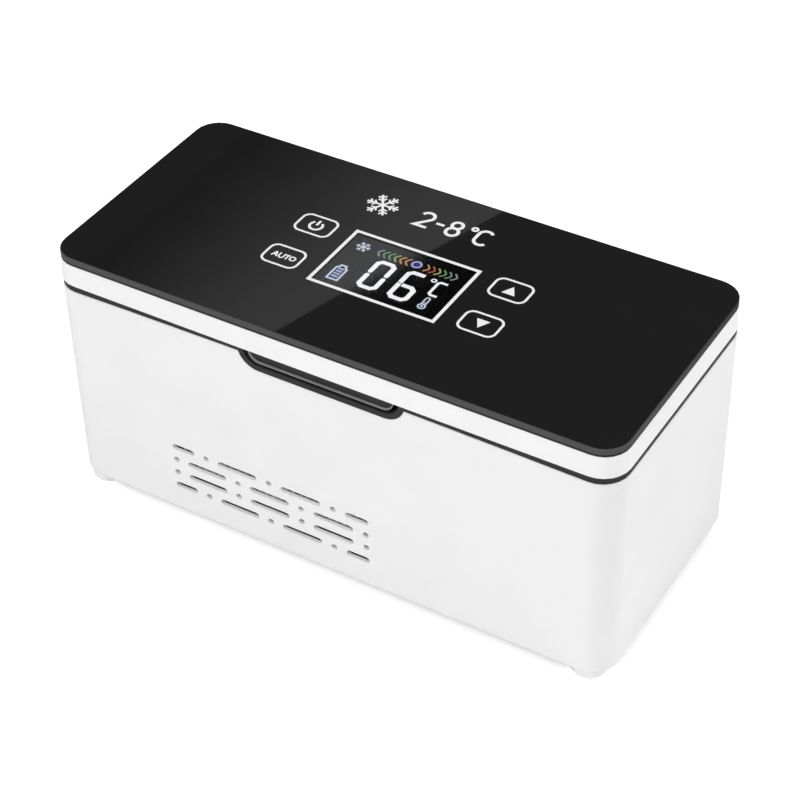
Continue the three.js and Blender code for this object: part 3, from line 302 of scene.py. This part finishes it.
def paint_group(name, field, output, axis, test, limit):
    """Gives the second material to faces whose place or normal along an axis passes a test."""
    group, paint = shape_group(name, "GeometryNodeSetMaterialIndex")
    paint.inputs["Material Index"].default_value = 1
    source = group.nodes.new(field)
    split = group.nodes.new("ShaderNodeSeparateXYZ")
    compare = group.nodes.new("FunctionNodeCompare")
    compare.operation = test
    compare.inputs["B"].default_value = limit
    group.links.new(source.outputs[output], split.inputs[0])
    group.links.new(split.outputs[axis], compare.inputs["A"])
    group.links.new(compare.outputs[0], paint.inputs["Selection"])
    return group


def tilt_group(name, test, limit):
    """Paints by how far a face looks up: 1 is level, 0 is upright."""
    return paint_group(name, "GeometryNodeInputNormal", "True Normal", "Z", test, limit)


# Adds a second material of painted light and shade to the faces that a group picks
def second_painted_material(name, material, group):
    nodes[name].data.materials.append(material)
    nodes[name].modifiers.new("second_painted_material", "NODES").node_group = group


SMOOTH, _ = shape_group("smooth_faces", "GeometryNodeSetShadeSmooth")
WELD_REACH = 0.002 * MM
FLAT_ANGLE = math.radians(0.4)
ROUNDED_ANGLE = math.radians(50.0)
NORMAL_WEIGHT = 80


def dress(name, material, bevel, segments=2):
    """Gives a node its material, and rounds its hard edges, in millimetres, without touching its mesh."""
    node = nodes[name]
    node.data.materials.clear()
    node.data.materials.append(material)
    weld = node.modifiers.new("weld", "WELD")
    weld.merge_threshold = WELD_REACH
    flat = node.modifiers.new("flat", "DECIMATE")
    flat.decimate_type = "DISSOLVE"
    flat.angle_limit = FLAT_ANGLE
    smooth = node.modifiers.new("smooth", "NODES")
    smooth.node_group = SMOOTH
    edge = node.modifiers.new("edge", "BEVEL")
    edge.width = bevel * MM
    edge.segments = segments
    edge.limit_method = "ANGLE"
    edge.angle_limit = ROUNDED_ANGLE
    edge.use_clamp_overlap = True
    edge.miter_outer = "MITER_ARC"
    normals = node.modifiers.new("normals", "WEIGHTED_NORMAL")
    normals.weight = NORMAL_WEIGHT
    normals.keep_sharp = True


CORNERS = ("front_left", "front_right", "rear_left", "rear_right")
SIDES = ("left", "right")
KEYS = ("power", "auto", "up", "down")
LEDGE_PAINTED_LIGHT_TILT = 0.3
EDGE_TILT = 0.9
LIP_DEPTH = 0.8 * MM

# Outside of body and lid, some with a second material of painted light and shade
dress("body_shell", WHITE, bevel=0.35, segments=3)
# Faces of the body shell that look up get the lighter white: painted light
second_painted_material("body_shell", LEDGE_PAINTED_LIGHT, tilt_group("painted_light_ledge_faces", "GREATER_THAN", LEDGE_PAINTED_LIGHT_TILT))
dress("lid_shell", BAND, bevel=0.2)
dress("lid_panel", PANEL, bevel=0.08)
# The panel's side faces get the painted shadow and painted reflection
second_painted_material("lid_panel", EDGE_SHADE_AND_SHEEN, tilt_group("side_faces", "LESS_THAN", EDGE_TILT))
dress("rim_frame", DARK, bevel=0.2)
dress("pull_tab", DARK, bevel=0.12)
# The front of the tab's lip gets the light grey: a painted highlight
tab_front = min(vertex.co.y for vertex in nodes["pull_tab"].data.vertices)
lip_end = tab_front + LIP_DEPTH
lip_highlight_faces = paint_group("lip_highlight_faces", "GeometryNodeInputPosition", "Position", "Y", "LESS_THAN", lip_end)
second_painted_material("pull_tab", LIP_HIGHLIGHT, lip_highlight_faces)
# The base plate's dark grey is partly painted shade, chosen so that the lower vents read dark
dress("base_plate", DARK, bevel=0.3)
dress("charging_inlet", DARK, bevel=0.15)
dress("display_window", WINDOW, bevel=0.08, segments=1)

# Inside
dress("lid_liner", LINER, bevel=0.3)
dress("lid_gasket", GASKET, bevel=0.4, segments=3)
dress("chamber_tub", TUB, bevel=0.3)
dress("cold_block", FINS, bevel=0.2)
dress("heatsink", FINS, bevel=0.1, segments=1)
dress("insulation_foam", FOAM, bevel=0.4)
dress("lid_foam", FOAM, bevel=0.4)
dress("fan_frame", DARK, bevel=0.3)
dress("fan_rotor", DARK, bevel=0.15)
dress("battery_pack", BATTERY, bevel=0.8)
dress("main_board", BOARD, bevel=0.1)
dress("key_board", BOARD, bevel=0.1)
dress("peltier_module", CERAMIC, bevel=0.08)
dress("temperature_probe", STEEL, bevel=0.3)
dress("display_module", SCREEN, bevel=0.1)

# What repeats
for corner in CORNERS:
    dress(f"foot_{corner}", FOOT, bevel=0.3)
    dress(f"base_screw_{corner}", STEEL, bevel=0.15)
    dress(f"fan_screw_{corner}", STEEL, bevel=0.15)
    dress(f"liner_screw_{corner}", STEEL, bevel=0.15)
for side in SIDES:
    dress(f"heatsink_screw_{side}", STEEL, bevel=0.15)
    dress(f"hinge_pin_{side}", STEEL, bevel=0.15)
    dress(f"body_magnet_{side}", MAGNET, bevel=0.15)
    dress(f"lid_magnet_{side}", MAGNET, bevel=0.15)
for key in KEYS:
    dress(f"key_{key}", KEY, bevel=0.12)
    dress(f"switch_{key}", STEEL, bevel=0.1)

# Flat marks: printed on the panel and the keys, or lit in the display. All lengths in millimetres.
MITRE_LIMIT = 0.35


def offset_path(points, width, closed):
    """The two edges of a stroke along points, mitred at its corners."""
    count = len(points)
    left, right = [], []
    for i, point in enumerate(points):
        here = Vector(point)
        before = Vector(points[i - 1]) if closed or i > 0 else None
        after = Vector(points[(i + 1) % count]) if closed or i < count - 1 else None
        first = (here - before).normalized() if before is not None else None
        second = (after - here).normalized() if after is not None else None
        first = first or second
        second = second or first
        side = (first + second).normalized().orthogonal()
        half = width / 2 / max(MITRE_LIMIT, side.dot(first.orthogonal()))
        left.append(here + side * half)
        right.append(here - side * half)
    return left, right


def stroke(points, width, closed=False):
    left, right = offset_path(points, width, closed)
    count = len(points)
    quads = []
    for i in range(count if closed else count - 1):
        j = (i + 1) % count
        quads.append([right[i], right[j], left[j], left[i]])
    return quads


def area(points):
    """One filled face; its points run counter-clockwise."""
    return [[Vector(point) for point in points]]


def arc(x, y, radius, start, end, steps=16):
    turns = [math.radians(start + (end - start) * step / steps) for step in range(steps + 1)]
    return [(x + radius * math.cos(turn), y + radius * math.sin(turn)) for turn in turns]


def loop(x, y, radius, steps=24):
    return arc(x, y, radius, 0, 360, steps)[:-1]


def rounded(points, width):
    """A stroke with half-round ends."""
    faces = stroke(points, width)
    for end, inner in ((points[0], points[1]), (points[-1], points[-2])):
        turn = math.degrees(math.atan2(end[1] - inner[1], end[0] - inner[0]))
        faces += area(arc(end[0], end[1], width / 2, turn - 90, turn + 90, steps=8))
    return faces


def plain_box(x, y, length, width):
    signs = ((-1, -1), (1, -1), (1, 1), (-1, 1))
    return [(x + sign_x * length / 2, y + sign_y * width / 2) for sign_x, sign_y in signs]


def round_box(x, y, length, width, radius, steps=6):
    points = []
    places = ((1, 1, 0), (-1, 1, 90), (-1, -1, 180), (1, -1, 270))
    for sign_x, sign_y, start in places:
        centre_x = x + sign_x * (length / 2 - radius)
        centre_y = y + sign_y * (width / 2 - radius)
        points += arc(centre_x, centre_y, radius, start, start + 90, steps)
    return points


LAYER = 0.02
INSIDE = 1
NEAR = 0.0001


def joined(faces):
    """Points and triangles that cover all the faces once, so that crossing strokes share no face."""
    points, loops = [], []
    for face in faces:
        loops.append(list(range(len(points), len(points) + len(face))))
        points += face
    points, _, triangles, _, _, sources = delaunay_2d_cdt(points, [], loops, INSIDE, NEAR)
    return points, [triangle for triangle, source in zip(triangles, sources) if source]


def mark(name, faces, z, body, material, origin=(0.0, 0.0)):
    """A thin closed layer on the plane at height z."""
    points, triangles = joined(faces)
    shape = bmesh.new()
    low = [shape.verts.new(((x + origin[0]) * MM, (y + origin[1]) * MM, z * MM)) for x, y in points]
    sheet = [shape.faces.new([low[i] for i in triangle]) for triangle in triangles]
    copied = bmesh.ops.extrude_face_region(shape, geom=sheet, use_keep_orig=True)["geom"]
    high = [item for item in copied if isinstance(item, bmesh.types.BMVert)]
    bmesh.ops.translate(shape, vec=(0.0, 0.0, LAYER * MM), verts=high)
    bmesh.ops.recalc_face_normals(shape, faces=shape.faces)
    mesh = bpy.data.meshes.new(name)
    shape.to_mesh(mesh)
    shape.free()
    mesh.materials.append(material)
    piece = bpy.data.objects.new(name, mesh)
    scene.collection.objects.link(piece)
    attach(piece, body)


BRANCH_ALONG = 0.62
BRANCH_ACROSS = 0.78
BRANCH_LINE = 0.85


def snowflake(x, y, reach, width, branches):
    """Six arms with pairs of branches, each given by its place along the arm and its length."""
    faces = []
    centre = Vector((x, y))
    for arm in range(6):
        turn = math.radians(60 * arm)
        along = Vector((math.cos(turn), math.sin(turn)))
        across = along.orthogonal()
        faces += stroke([centre, centre + along * reach], width)
        for place, length in branches:
            root = centre + along * reach * place
            for side in (1, -1):
                tip = root + (along * BRANCH_ALONG + across * BRANCH_ACROSS * side) * length
                faces += stroke([root, tip], width * BRANCH_LINE)
    return faces


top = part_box("lid_panel")[1].z / MM
key_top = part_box("key_up")[1].z / MM
screen_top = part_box("display_module")[1].z / MM
window_low, window_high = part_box("display_window")
window_x = (window_low.x + window_high.x) / 2 / MM
window_y = (window_low.y + window_high.y) / 2 / MM
window_length = (window_high.x - window_low.x) / MM
window_width = (window_high.y - window_low.y) / MM

# Print on the panel: window frame, snowflake and storage range
FRAME_LINE = 1.3
border = plain_box(window_x, window_y, window_length - FRAME_LINE, window_width - FRAME_LINE)
mark("print_window_frame", stroke(border, FRAME_LINE, True), top, "lid", PRINT)
FLAKE_X = -22.9
FLAKE_Y = 31.1
FLAKE_REACH = 6.3
FLAKE_LINE = 0.85
FLAKE_BRANCHES = ((0.42, 1.9), (0.68, 1.9))
flake = snowflake(FLAKE_X, FLAKE_Y, FLAKE_REACH, FLAKE_LINE, FLAKE_BRANCHES)
mark("print_snowflake", flake, top, "lid", PRINT)
RANGE_X = -7.6
RANGE_Y = 26.6
RANGE_HEIGHT = 8.45
RANGE_LINE = 1.25
DEGREE_LINE = 0.8 * RANGE_LINE


def storage_range(x, y, h):
    """A range from 2 to 8 degrees in plain strokes of height h, from its lower left corner."""
    dash_x = x + 0.8 * h
    eight_x = x + 1.66 * h
    degree_x = x + 2.42 * h
    c_x = x + 3.0 * h
    two = arc(x + 0.28 * h, y + 0.72 * h, 0.28 * h, 165, -25, 12) + [(x, y), (x + 0.58 * h, y)]
    dash = [(dash_x, y + 0.48 * h), (dash_x + 0.38 * h, y + 0.48 * h)]
    c_top = arc(c_x, y + 0.7 * h, 0.3 * h, 35, 180, 10)
    c_low = arc(c_x, y + 0.3 * h, 0.3 * h, 180, 325, 10)
    faces = stroke(two, RANGE_LINE)
    faces += stroke(dash, RANGE_LINE)
    faces += stroke(loop(eight_x, y + 0.75 * h, 0.23 * h), RANGE_LINE, True)
    faces += stroke(loop(eight_x, y + 0.265 * h, 0.27 * h), RANGE_LINE, True)
    faces += stroke(loop(degree_x, y + 0.88 * h, 0.11 * h, 16), DEGREE_LINE, True)
    faces += stroke(c_top + c_low, RANGE_LINE)
    return faces


mark("print_storage_range", storage_range(RANGE_X, RANGE_Y, RANGE_HEIGHT), top, "lid", PRINT)

# Key outlines and symbols
KEY_LENGTH = 14.65
KEY_WIDTH = 11.2
KEY_CORNER = 3.2
KEY_LINE = 0.88
POWER_RADIUS = 2.35
POWER_LINE = 0.95
POWER_DROP = 0.2
POWER_ARC = (128, 412)
POWER_BAR = (0.1, 3.0)
LETTER_HEIGHT = 2.65
LETTER_LINE = 0.6
ARROW_HALF_LENGTH = 2.5
ARROW_HALF_WIDTH = 2.25


def key_centre(name):
    low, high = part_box(f"key_{name}")
    return (low.x + high.x) / 2 / MM, (low.y + high.y) / 2 / MM


def power_symbol(x, y):
    ring = arc(x, y - POWER_DROP, POWER_RADIUS, *POWER_ARC, steps=26)
    bar = [(x, y + end) for end in POWER_BAR]
    return stroke(ring, POWER_LINE) + stroke(bar, POWER_LINE)


def auto_legend(x, y):
    """The word AUTO, each letter about its own middle."""
    a_x, u_x, t_x, o_x = x - 3.3, x - 0.8, x + 1.4, x + 3.6
    half_a, half_bar, half_u, half_t = 1.0, 0.65, 0.9, 0.95
    o_length, o_radius = 2.0, 0.95
    low = y - LETTER_HEIGHT / 2
    high = low + LETTER_HEIGHT
    bar_y = low + 0.85
    bowl_y = low + 0.95
    roof_y = high - LETTER_LINE / 2
    u = [(u_x - half_u, high)] + arc(u_x, bowl_y, half_u, 180, 360, 10) + [(u_x + half_u, high)]
    o = round_box(o_x, y, o_length, LETTER_HEIGHT - LETTER_LINE, o_radius, steps=5)
    faces = stroke([(a_x - half_a, low), (a_x, high)], LETTER_LINE)
    faces += stroke([(a_x, high), (a_x + half_a, low)], LETTER_LINE)
    faces += stroke([(a_x - half_bar, bar_y), (a_x + half_bar, bar_y)], LETTER_LINE * 0.9)
    faces += stroke(u, LETTER_LINE)
    faces += stroke([(t_x - half_t, roof_y), (t_x + half_t, roof_y)], LETTER_LINE)
    faces += stroke([(t_x, roof_y), (t_x, low)], LETTER_LINE)
    faces += stroke(o, LETTER_LINE, True)
    return faces


def arrow(x, y, way):
    """A triangle that points to the rear with way 1 and to the front with way -1."""
    across = ARROW_HALF_LENGTH * way
    ahead = ARROW_HALF_WIDTH * way
    return area([(x - across, y - ahead), (x + across, y - ahead), (x, y + ahead)])


def up_arrow(x, y):
    return arrow(x, y, 1)


def down_arrow(x, y):
    return arrow(x, y, -1)


for name, symbol in zip(KEYS, (power_symbol, auto_legend, up_arrow, down_arrow)):
    x, y = key_centre(name)
    outline = round_box(x, y, KEY_LENGTH - KEY_LINE, KEY_WIDTH - KEY_LINE, KEY_CORNER - KEY_LINE / 2)
    mark(f"print_key_{name}", stroke(outline, KEY_LINE, True) + symbol(x, y), key_top, f"{name}_key", PRINT)


# Lit segments of the display, measured from the middle of the window
def lit(name, faces, tone, shift, layer=0):
    """A lit mark; shift is the small correction that its fit to the photo asked for."""
    origin = (window_x + shift[0], window_y + shift[1])
    mark(name, faces, screen_top + layer * LAYER, "lid", tone, origin)


# Digits 0 and 6
SEGMENT = 1.75
DIGIT_TOP = 4.5
ZERO_LEFT = -7.95
ZERO_RIGHT = -1.65
ZERO_CUT_LEFT = 1.25
ZERO_CUT_RIGHT = 1.35
SIX_LEFT = 4.1
SIX_RIGHT = 10.5
SIX_BAR = -3.35
SIX_FOOT = -10.65


def half_zero(end, shoulder, flat):
    """Half of the 0 between its open ends; the values are heights."""
    return [
        (ZERO_LEFT, end), (ZERO_LEFT, shoulder), (ZERO_LEFT + ZERO_CUT_LEFT, flat),
        (ZERO_RIGHT - ZERO_CUT_RIGHT, flat), (ZERO_RIGHT, shoulder), (ZERO_RIGHT, end),
    ]


zero_top = half_zero(end=-1.9, shoulder=3.25, flat=DIGIT_TOP)
zero_low = half_zero(end=-4.1, shoulder=-9.3, flat=-10.5)
six_top = [(9.85, DIGIT_TOP), (5.45, DIGIT_TOP), (SIX_LEFT, 3.25), (SIX_LEFT, -2.6)]
six_low = [
    (5.35, SIX_BAR), (9.15, SIX_BAR), (SIX_RIGHT, -4.6), (SIX_RIGHT, -9.4),
    (9.15, SIX_FOOT), (5.4, SIX_FOOT), (SIX_LEFT, -9.4), (SIX_LEFT, -2.95),
]
digits = rounded(zero_top, SEGMENT) + rounded(zero_low, SEGMENT)
digits += stroke(six_top, SEGMENT) + stroke(six_low, SEGMENT)
lit("lit_digits", digits, LIT, shift=(-0.66, 0.6))

# Degree sign and C
C_LEFT = 15.5
C_BEND = 16.3
C_RIGHT = 18.8
C_TOP = 3.9
C_FOOT = -3.75
C_LINE = 1.05
RING_LINE = 0.55
c_points = [
    (C_RIGHT, C_TOP), (C_BEND, C_TOP), (C_LEFT, 3.15), (C_LEFT, -2.95), (C_BEND, C_FOOT), (C_RIGHT, C_FOOT),
]
unit = stroke(loop(13.5, 3.75, 0.8, 16), RING_LINE, True) + stroke(c_points, C_LINE)
lit("lit_unit", unit, LIT, shift=(-0.55, 0.79))

# Thermometer
STEM_X = 17.1
STEM_HALF = 0.75
STEM_TOP = -6.2
STEM_FOOT = -9.4
STEM_LINE = 0.55
BULB_Y = -10.5
BULB_RADIUS = 1.25
BULB_LINE = 0.6
CORE_RADIUS = 0.5
CORE_LINE = 0.26
stem = [(STEM_X - STEM_HALF, STEM_FOOT)]
stem += arc(STEM_X, STEM_TOP, STEM_HALF, 180, 0, 8)
stem += [(STEM_X + STEM_HALF, STEM_FOOT)]
thermometer = stroke(stem, STEM_LINE)
thermometer += stroke(loop(STEM_X, BULB_Y, BULB_RADIUS, 18), BULB_LINE, True)
thermometer += area(loop(STEM_X, BULB_Y, CORE_RADIUS, 12))
thermometer += stroke([(STEM_X, -10.1), (STEM_X, -7.85)], CORE_LINE)
lit("lit_thermometer", thermometer, ICE, shift=(-0.74, 0.75))

# Small snowflake
small_flake = snowflake(x=-17.5, y=9.2, reach=2.75, width=0.5, branches=((0.55, 0.95),))
lit("lit_snowflake", small_flake, PALE, shift=(-0.44, 0.21))

# Battery
CELL_LEFT = -19.25
CELL_RIGHT = -15.1
CELL_FOOT = -11.75
CELL_SHOULDER = -5.2
CELL_LINE = 0.75
NECK_LEFT = -18.25
NECK_RIGHT = -16.2
NECK_FOOT = -4.2
NECK_TOP = -3.45
CHARGE_LEFT = -18.4
CHARGE_RIGHT = -15.95
CHARGE_FOOT = -11.0
CHARGE_TOP = -5.0
BARS = 4
BAR_FOOT = -9.9
BAR_PITCH = 1.5
BAR_LINE = 0.5
CELL_SHIFT = (-0.68, 0.3)
cell = [
    (CELL_LEFT, CELL_FOOT), (CELL_LEFT, CELL_SHOULDER), (NECK_LEFT, NECK_FOOT), (NECK_LEFT, NECK_TOP),
    (NECK_RIGHT, NECK_TOP), (NECK_RIGHT, NECK_FOOT), (CELL_RIGHT, CELL_SHOULDER), (CELL_RIGHT, CELL_FOOT),
]
lit("lit_battery", stroke(cell, CELL_LINE, True), ICE, CELL_SHIFT)
charge = area([
    (CHARGE_LEFT, CHARGE_FOOT), (CHARGE_RIGHT, CHARGE_FOOT),
    (CHARGE_RIGHT, CHARGE_TOP), (CHARGE_LEFT, CHARGE_TOP),
])
lit("lit_battery_charge", charge, BLUE, CELL_SHIFT)
bars = []
for bar in range(BARS):
    height = BAR_FOOT + BAR_PITCH * bar
    bars += stroke([(CHARGE_LEFT, height), (CHARGE_RIGHT, height)], BAR_LINE)
lit("lit_battery_bars", bars, ICE, CELL_SHIFT, layer=1)

# Chevrons on both sides of a ring, from the ring outwards: side, way, first distance, pitch, tones
RING_X = 3.95
RING_Y = 8.95
RING_SHIFT = (-0.69, 0.61)
CHEVRON_Y = 9.2
CHEVRON_HALF = 2.0
CHEVRON_DEPTH = 1.5
CHEVRON_CURVE = 1.5
CHEVRON_LINE = 0.66
CHEVRON_STEPS = 4
CHEVRON_SHIFT = (-0.58, 0.24)
CHEVRON_ROWS = (
    ("left", -1, 4.3, 2.19, ("amber", "amber", "lime", "leaf", "sage", "mist")),
    ("right", 1, 4.75, 2.17, ("amber", "rust", "lime", "leaf", "sage", "mist")),
)


def chevron(x, way):
    """A bent stroke with its tip at x."""
    points = []
    for step in range(-CHEVRON_STEPS, CHEVRON_STEPS + 1):
        share = step / CHEVRON_STEPS
        back = CHEVRON_DEPTH * abs(share) ** CHEVRON_CURVE
        points.append((x - way * back, CHEVRON_Y + CHEVRON_HALF * share))
    return stroke(points, CHEVRON_LINE)


for side, way, first, pitch, tones in CHEVRON_ROWS:
    for number, tone in enumerate(tones):
        faces = chevron(RING_X + way * (first + pitch * number), way)
        lit(f"lit_chevron_{side}_{number + 1}", faces, CHEVRON_TONES[tone], CHEVRON_SHIFT)
lit("lit_ring", stroke(loop(RING_X, RING_Y, 1.6), 0.85, True), LILAC, RING_SHIFT)
lit("lit_ring_core", area(loop(RING_X, RING_Y, 0.8, 16)), DEEP, RING_SHIFT)

# Camera, from the fit to the photo
YAW = math.radians(31.644)
PITCH = math.radians(39.714)
ROLL = math.radians(1.317)
LENS = 96.599
SENSOR = 36.0
EYE_DISTANCE = 0.76229
EYE_TARGET = Vector((1.525, 0.0, 45.582)) * MM


def camera():
    """Places the scene's camera and returns its place."""
    forward = Vector((-math.sin(YAW) * math.cos(PITCH), math.cos(YAW) * math.cos(PITCH), -math.sin(PITCH)))
    right = Vector((math.cos(YAW), math.sin(YAW), 0.0))
    down = forward.cross(right)
    turned = math.cos(ROLL) * right + math.sin(ROLL) * down
    lowered = -math.sin(ROLL) * right + math.cos(ROLL) * down
    data = bpy.data.cameras.new("camera")
    data.sensor_width = SENSOR
    data.lens = LENS
    data.clip_start = 0.01
    data.clip_end = 50.0
    eye = bpy.data.objects.new("camera", data)
    scene.collection.objects.link(eye)
    place = EYE_TARGET - forward * EYE_DISTANCE
    rows = [
        (turned.x, -lowered.x, -forward.x, place.x),
        (turned.y, -lowered.y, -forward.y, place.y),
        (turned.z, -lowered.z, -forward.z, place.z),
        (0.0, 0.0, 0.0, 1.0),
    ]
    eye.matrix_world = Matrix(rows)
    scene.camera = eye
    return place


eye_place = camera()


# Floor, lifted to white for the camera
def make_object(name, vertices, faces, material):
    mesh = bpy.data.meshes.new(name)
    mesh.from_pydata(vertices, [], faces)
    mesh.materials.append(material)
    made = bpy.data.objects.new(name, mesh)
    scene.collection.objects.link(made)
    return made


FLOOR_REACH = 6.0
FLOOR_LIFT = 0.45


def floor_material():
    material, tree, shader = new_material(
        "floor_white", Roughness=0.9, Specular_IOR_Level=0.0, Emission_Color=FULL_WHITE,
    )
    path = tree.nodes.new("ShaderNodeLightPath")
    seen = larger(tree, path.outputs["Is Camera Ray"], path.outputs["Is Transmission Ray"])
    clouds = noise(tree, scale=3.0)
    tree.links.new(ramp(tree, clouds, grey(243), grey(245)), shader.inputs["Base Color"])
    tree.links.new(times(tree, seen, FLOOR_LIFT), shader.inputs["Emission Strength"])
    return material


floor_corners = [(x, y, 0.0) for x, y in plain_box(0.0, 0.0, 2 * FLOOR_REACH, 2 * FLOOR_REACH)]
floor = make_object("floor", floor_corners, [(0, 1, 2, 3)], floor_material())

# Sky: white for the camera, a dark ceiling in reflections, and an even light that is dimmer on the left
SKY_LEVEL = 0.45
DIM_FROM = -0.9
DIM_TO = -0.3
DIM_LEVEL = 0.4
CEILING_FROM = 0.22
CEILING_TO = 0.5
CEILING_LEVEL = 0.02


def mix_shader(tree, factor, first, second):
    node = tree.nodes.new("ShaderNodeMixShader")
    tree.links.new(factor, node.inputs["Fac"])
    tree.links.new(first, node.inputs[1])
    tree.links.new(second, node.inputs[2])
    return node.outputs[0]


def sky():
    world = bpy.data.worlds.new("studio")
    scene.world = world
    world.use_nodes = True
    tree = world.node_tree
    tree.nodes.clear()
    output = tree.nodes.new("ShaderNodeOutputWorld")
    path = tree.nodes.new("ShaderNodeLightPath")
    plain = add(tree, "ShaderNodeBackground", Strength=SKY_LEVEL)
    shown = add(tree, "ShaderNodeBackground", Color=FULL_WHITE, Strength=1.0)
    mirrored = add(tree, "ShaderNodeBackground", Strength=1.0)
    way = axes(tree, "Generated")
    dimmed = map_range(tree, way["X"], DIM_FROM, DIM_TO, DIM_LEVEL, 1.0)
    ceiling = map_range(tree, way["Z"], CEILING_FROM, CEILING_TO, 1.0, CEILING_LEVEL)
    tree.links.new(dimmed, plain.inputs["Color"])
    tree.links.new(ceiling, mirrored.inputs["Color"])
    reflected = larger(tree, path.outputs["Is Glossy Ray"], path.outputs["Is Transmission Ray"])
    unseen = mix_shader(tree, reflected, plain.outputs[0], mirrored.outputs[0])
    final = mix_shader(tree, path.outputs["Is Camera Ray"], unseen, shown.outputs[0])
    tree.links.new(final, output.inputs["Surface"])


sky()

# Lamps, hidden from the camera, from reflections and from the view through the window
LAMP_AIM = Vector((0.0, 0.0, 0.05))


def lamp(name, place, size, power):
    data = bpy.data.lights.new(name, "AREA")
    data.shape = "SQUARE"
    data.size = size
    data.energy = power
    made = bpy.data.objects.new(name, data)
    scene.collection.objects.link(made)
    made.location = place
    made.rotation_euler = (LAMP_AIM - Vector(place)).to_track_quat("-Z", "Y").to_euler()
    made.visible_camera = False
    made.visible_glossy = False
    made.visible_transmission = False


lamp("key_lamp", place=(-0.4, -1.4, 1.65), size=1.4, power=21.5)
lamp("fill_lamp", place=(-0.3, -1.9, 0.6), size=0.8, power=4.5)
lamp("side_lamp", place=(1.5, 1.0, 1.1), size=1.4, power=21.0)

# A softbox behind the case, seen only as the slanted sheen on the panel and in the display
SHEEN_WALL = 1.0
SHEEN_EDGE = ((-19.2, -60.0), (-7.2, -17.0), (6.3, 17.2), (19.4, 60.0))
SHEEN_END = -92.0
SHEEN_STEPS = 24
SHEEN_LEVEL = 0.4


def sheen_material():
    material = bpy.data.materials.new("softbox")
    material.use_nodes = True
    tree = material.node_tree
    tree.nodes.clear()
    output = tree.nodes.new("ShaderNodeOutputMaterial")
    light = add(tree, "ShaderNodeEmission", Color=FULL_WHITE)
    level = tree.nodes.new("ShaderNodeAttribute")
    level.attribute_name = "shine"
    tree.links.new(times(tree, level.outputs["Fac"], SHEEN_LEVEL), light.inputs["Strength"])
    tree.links.new(light.outputs[0], output.inputs["Surface"])
    return material


def sheen():
    """Casts the sheen's outline on the panel back to a wall, and lets it fade from its edge to its end."""
    mirrored = Vector((eye_place.x, eye_place.y, 2 * top * MM - eye_place.z))

    def cast(x, y):
        point = Vector((x, y, top)) * MM
        way = point - mirrored
        return mirrored + way * ((SHEEN_WALL - mirrored.y) / way.y)

    vertices, faces, shine = [], [], []
    for x, y in SHEEN_EDGE:
        for step in range(SHEEN_STEPS + 1):
            share = step / SHEEN_STEPS
            vertices.append(cast(x + (SHEEN_END - x) * share, y))
            shine.append(1.0 - share * share * (3.0 - 2.0 * share))
    width = SHEEN_STEPS + 1
    for row in range(len(SHEEN_EDGE) - 1):
        for step in range(SHEEN_STEPS):
            near = row * width + step
            faces.append((near, near + 1, near + width + 1, near + width))
    card = make_object("softbox", vertices, faces, sheen_material())
    values = card.data.attributes.new("shine", "FLOAT", "POINT")
    values.data.foreach_set("value", shine)
    card.visible_camera = False
    card.visible_diffuse = False
    card.visible_shadow = False


sheen()
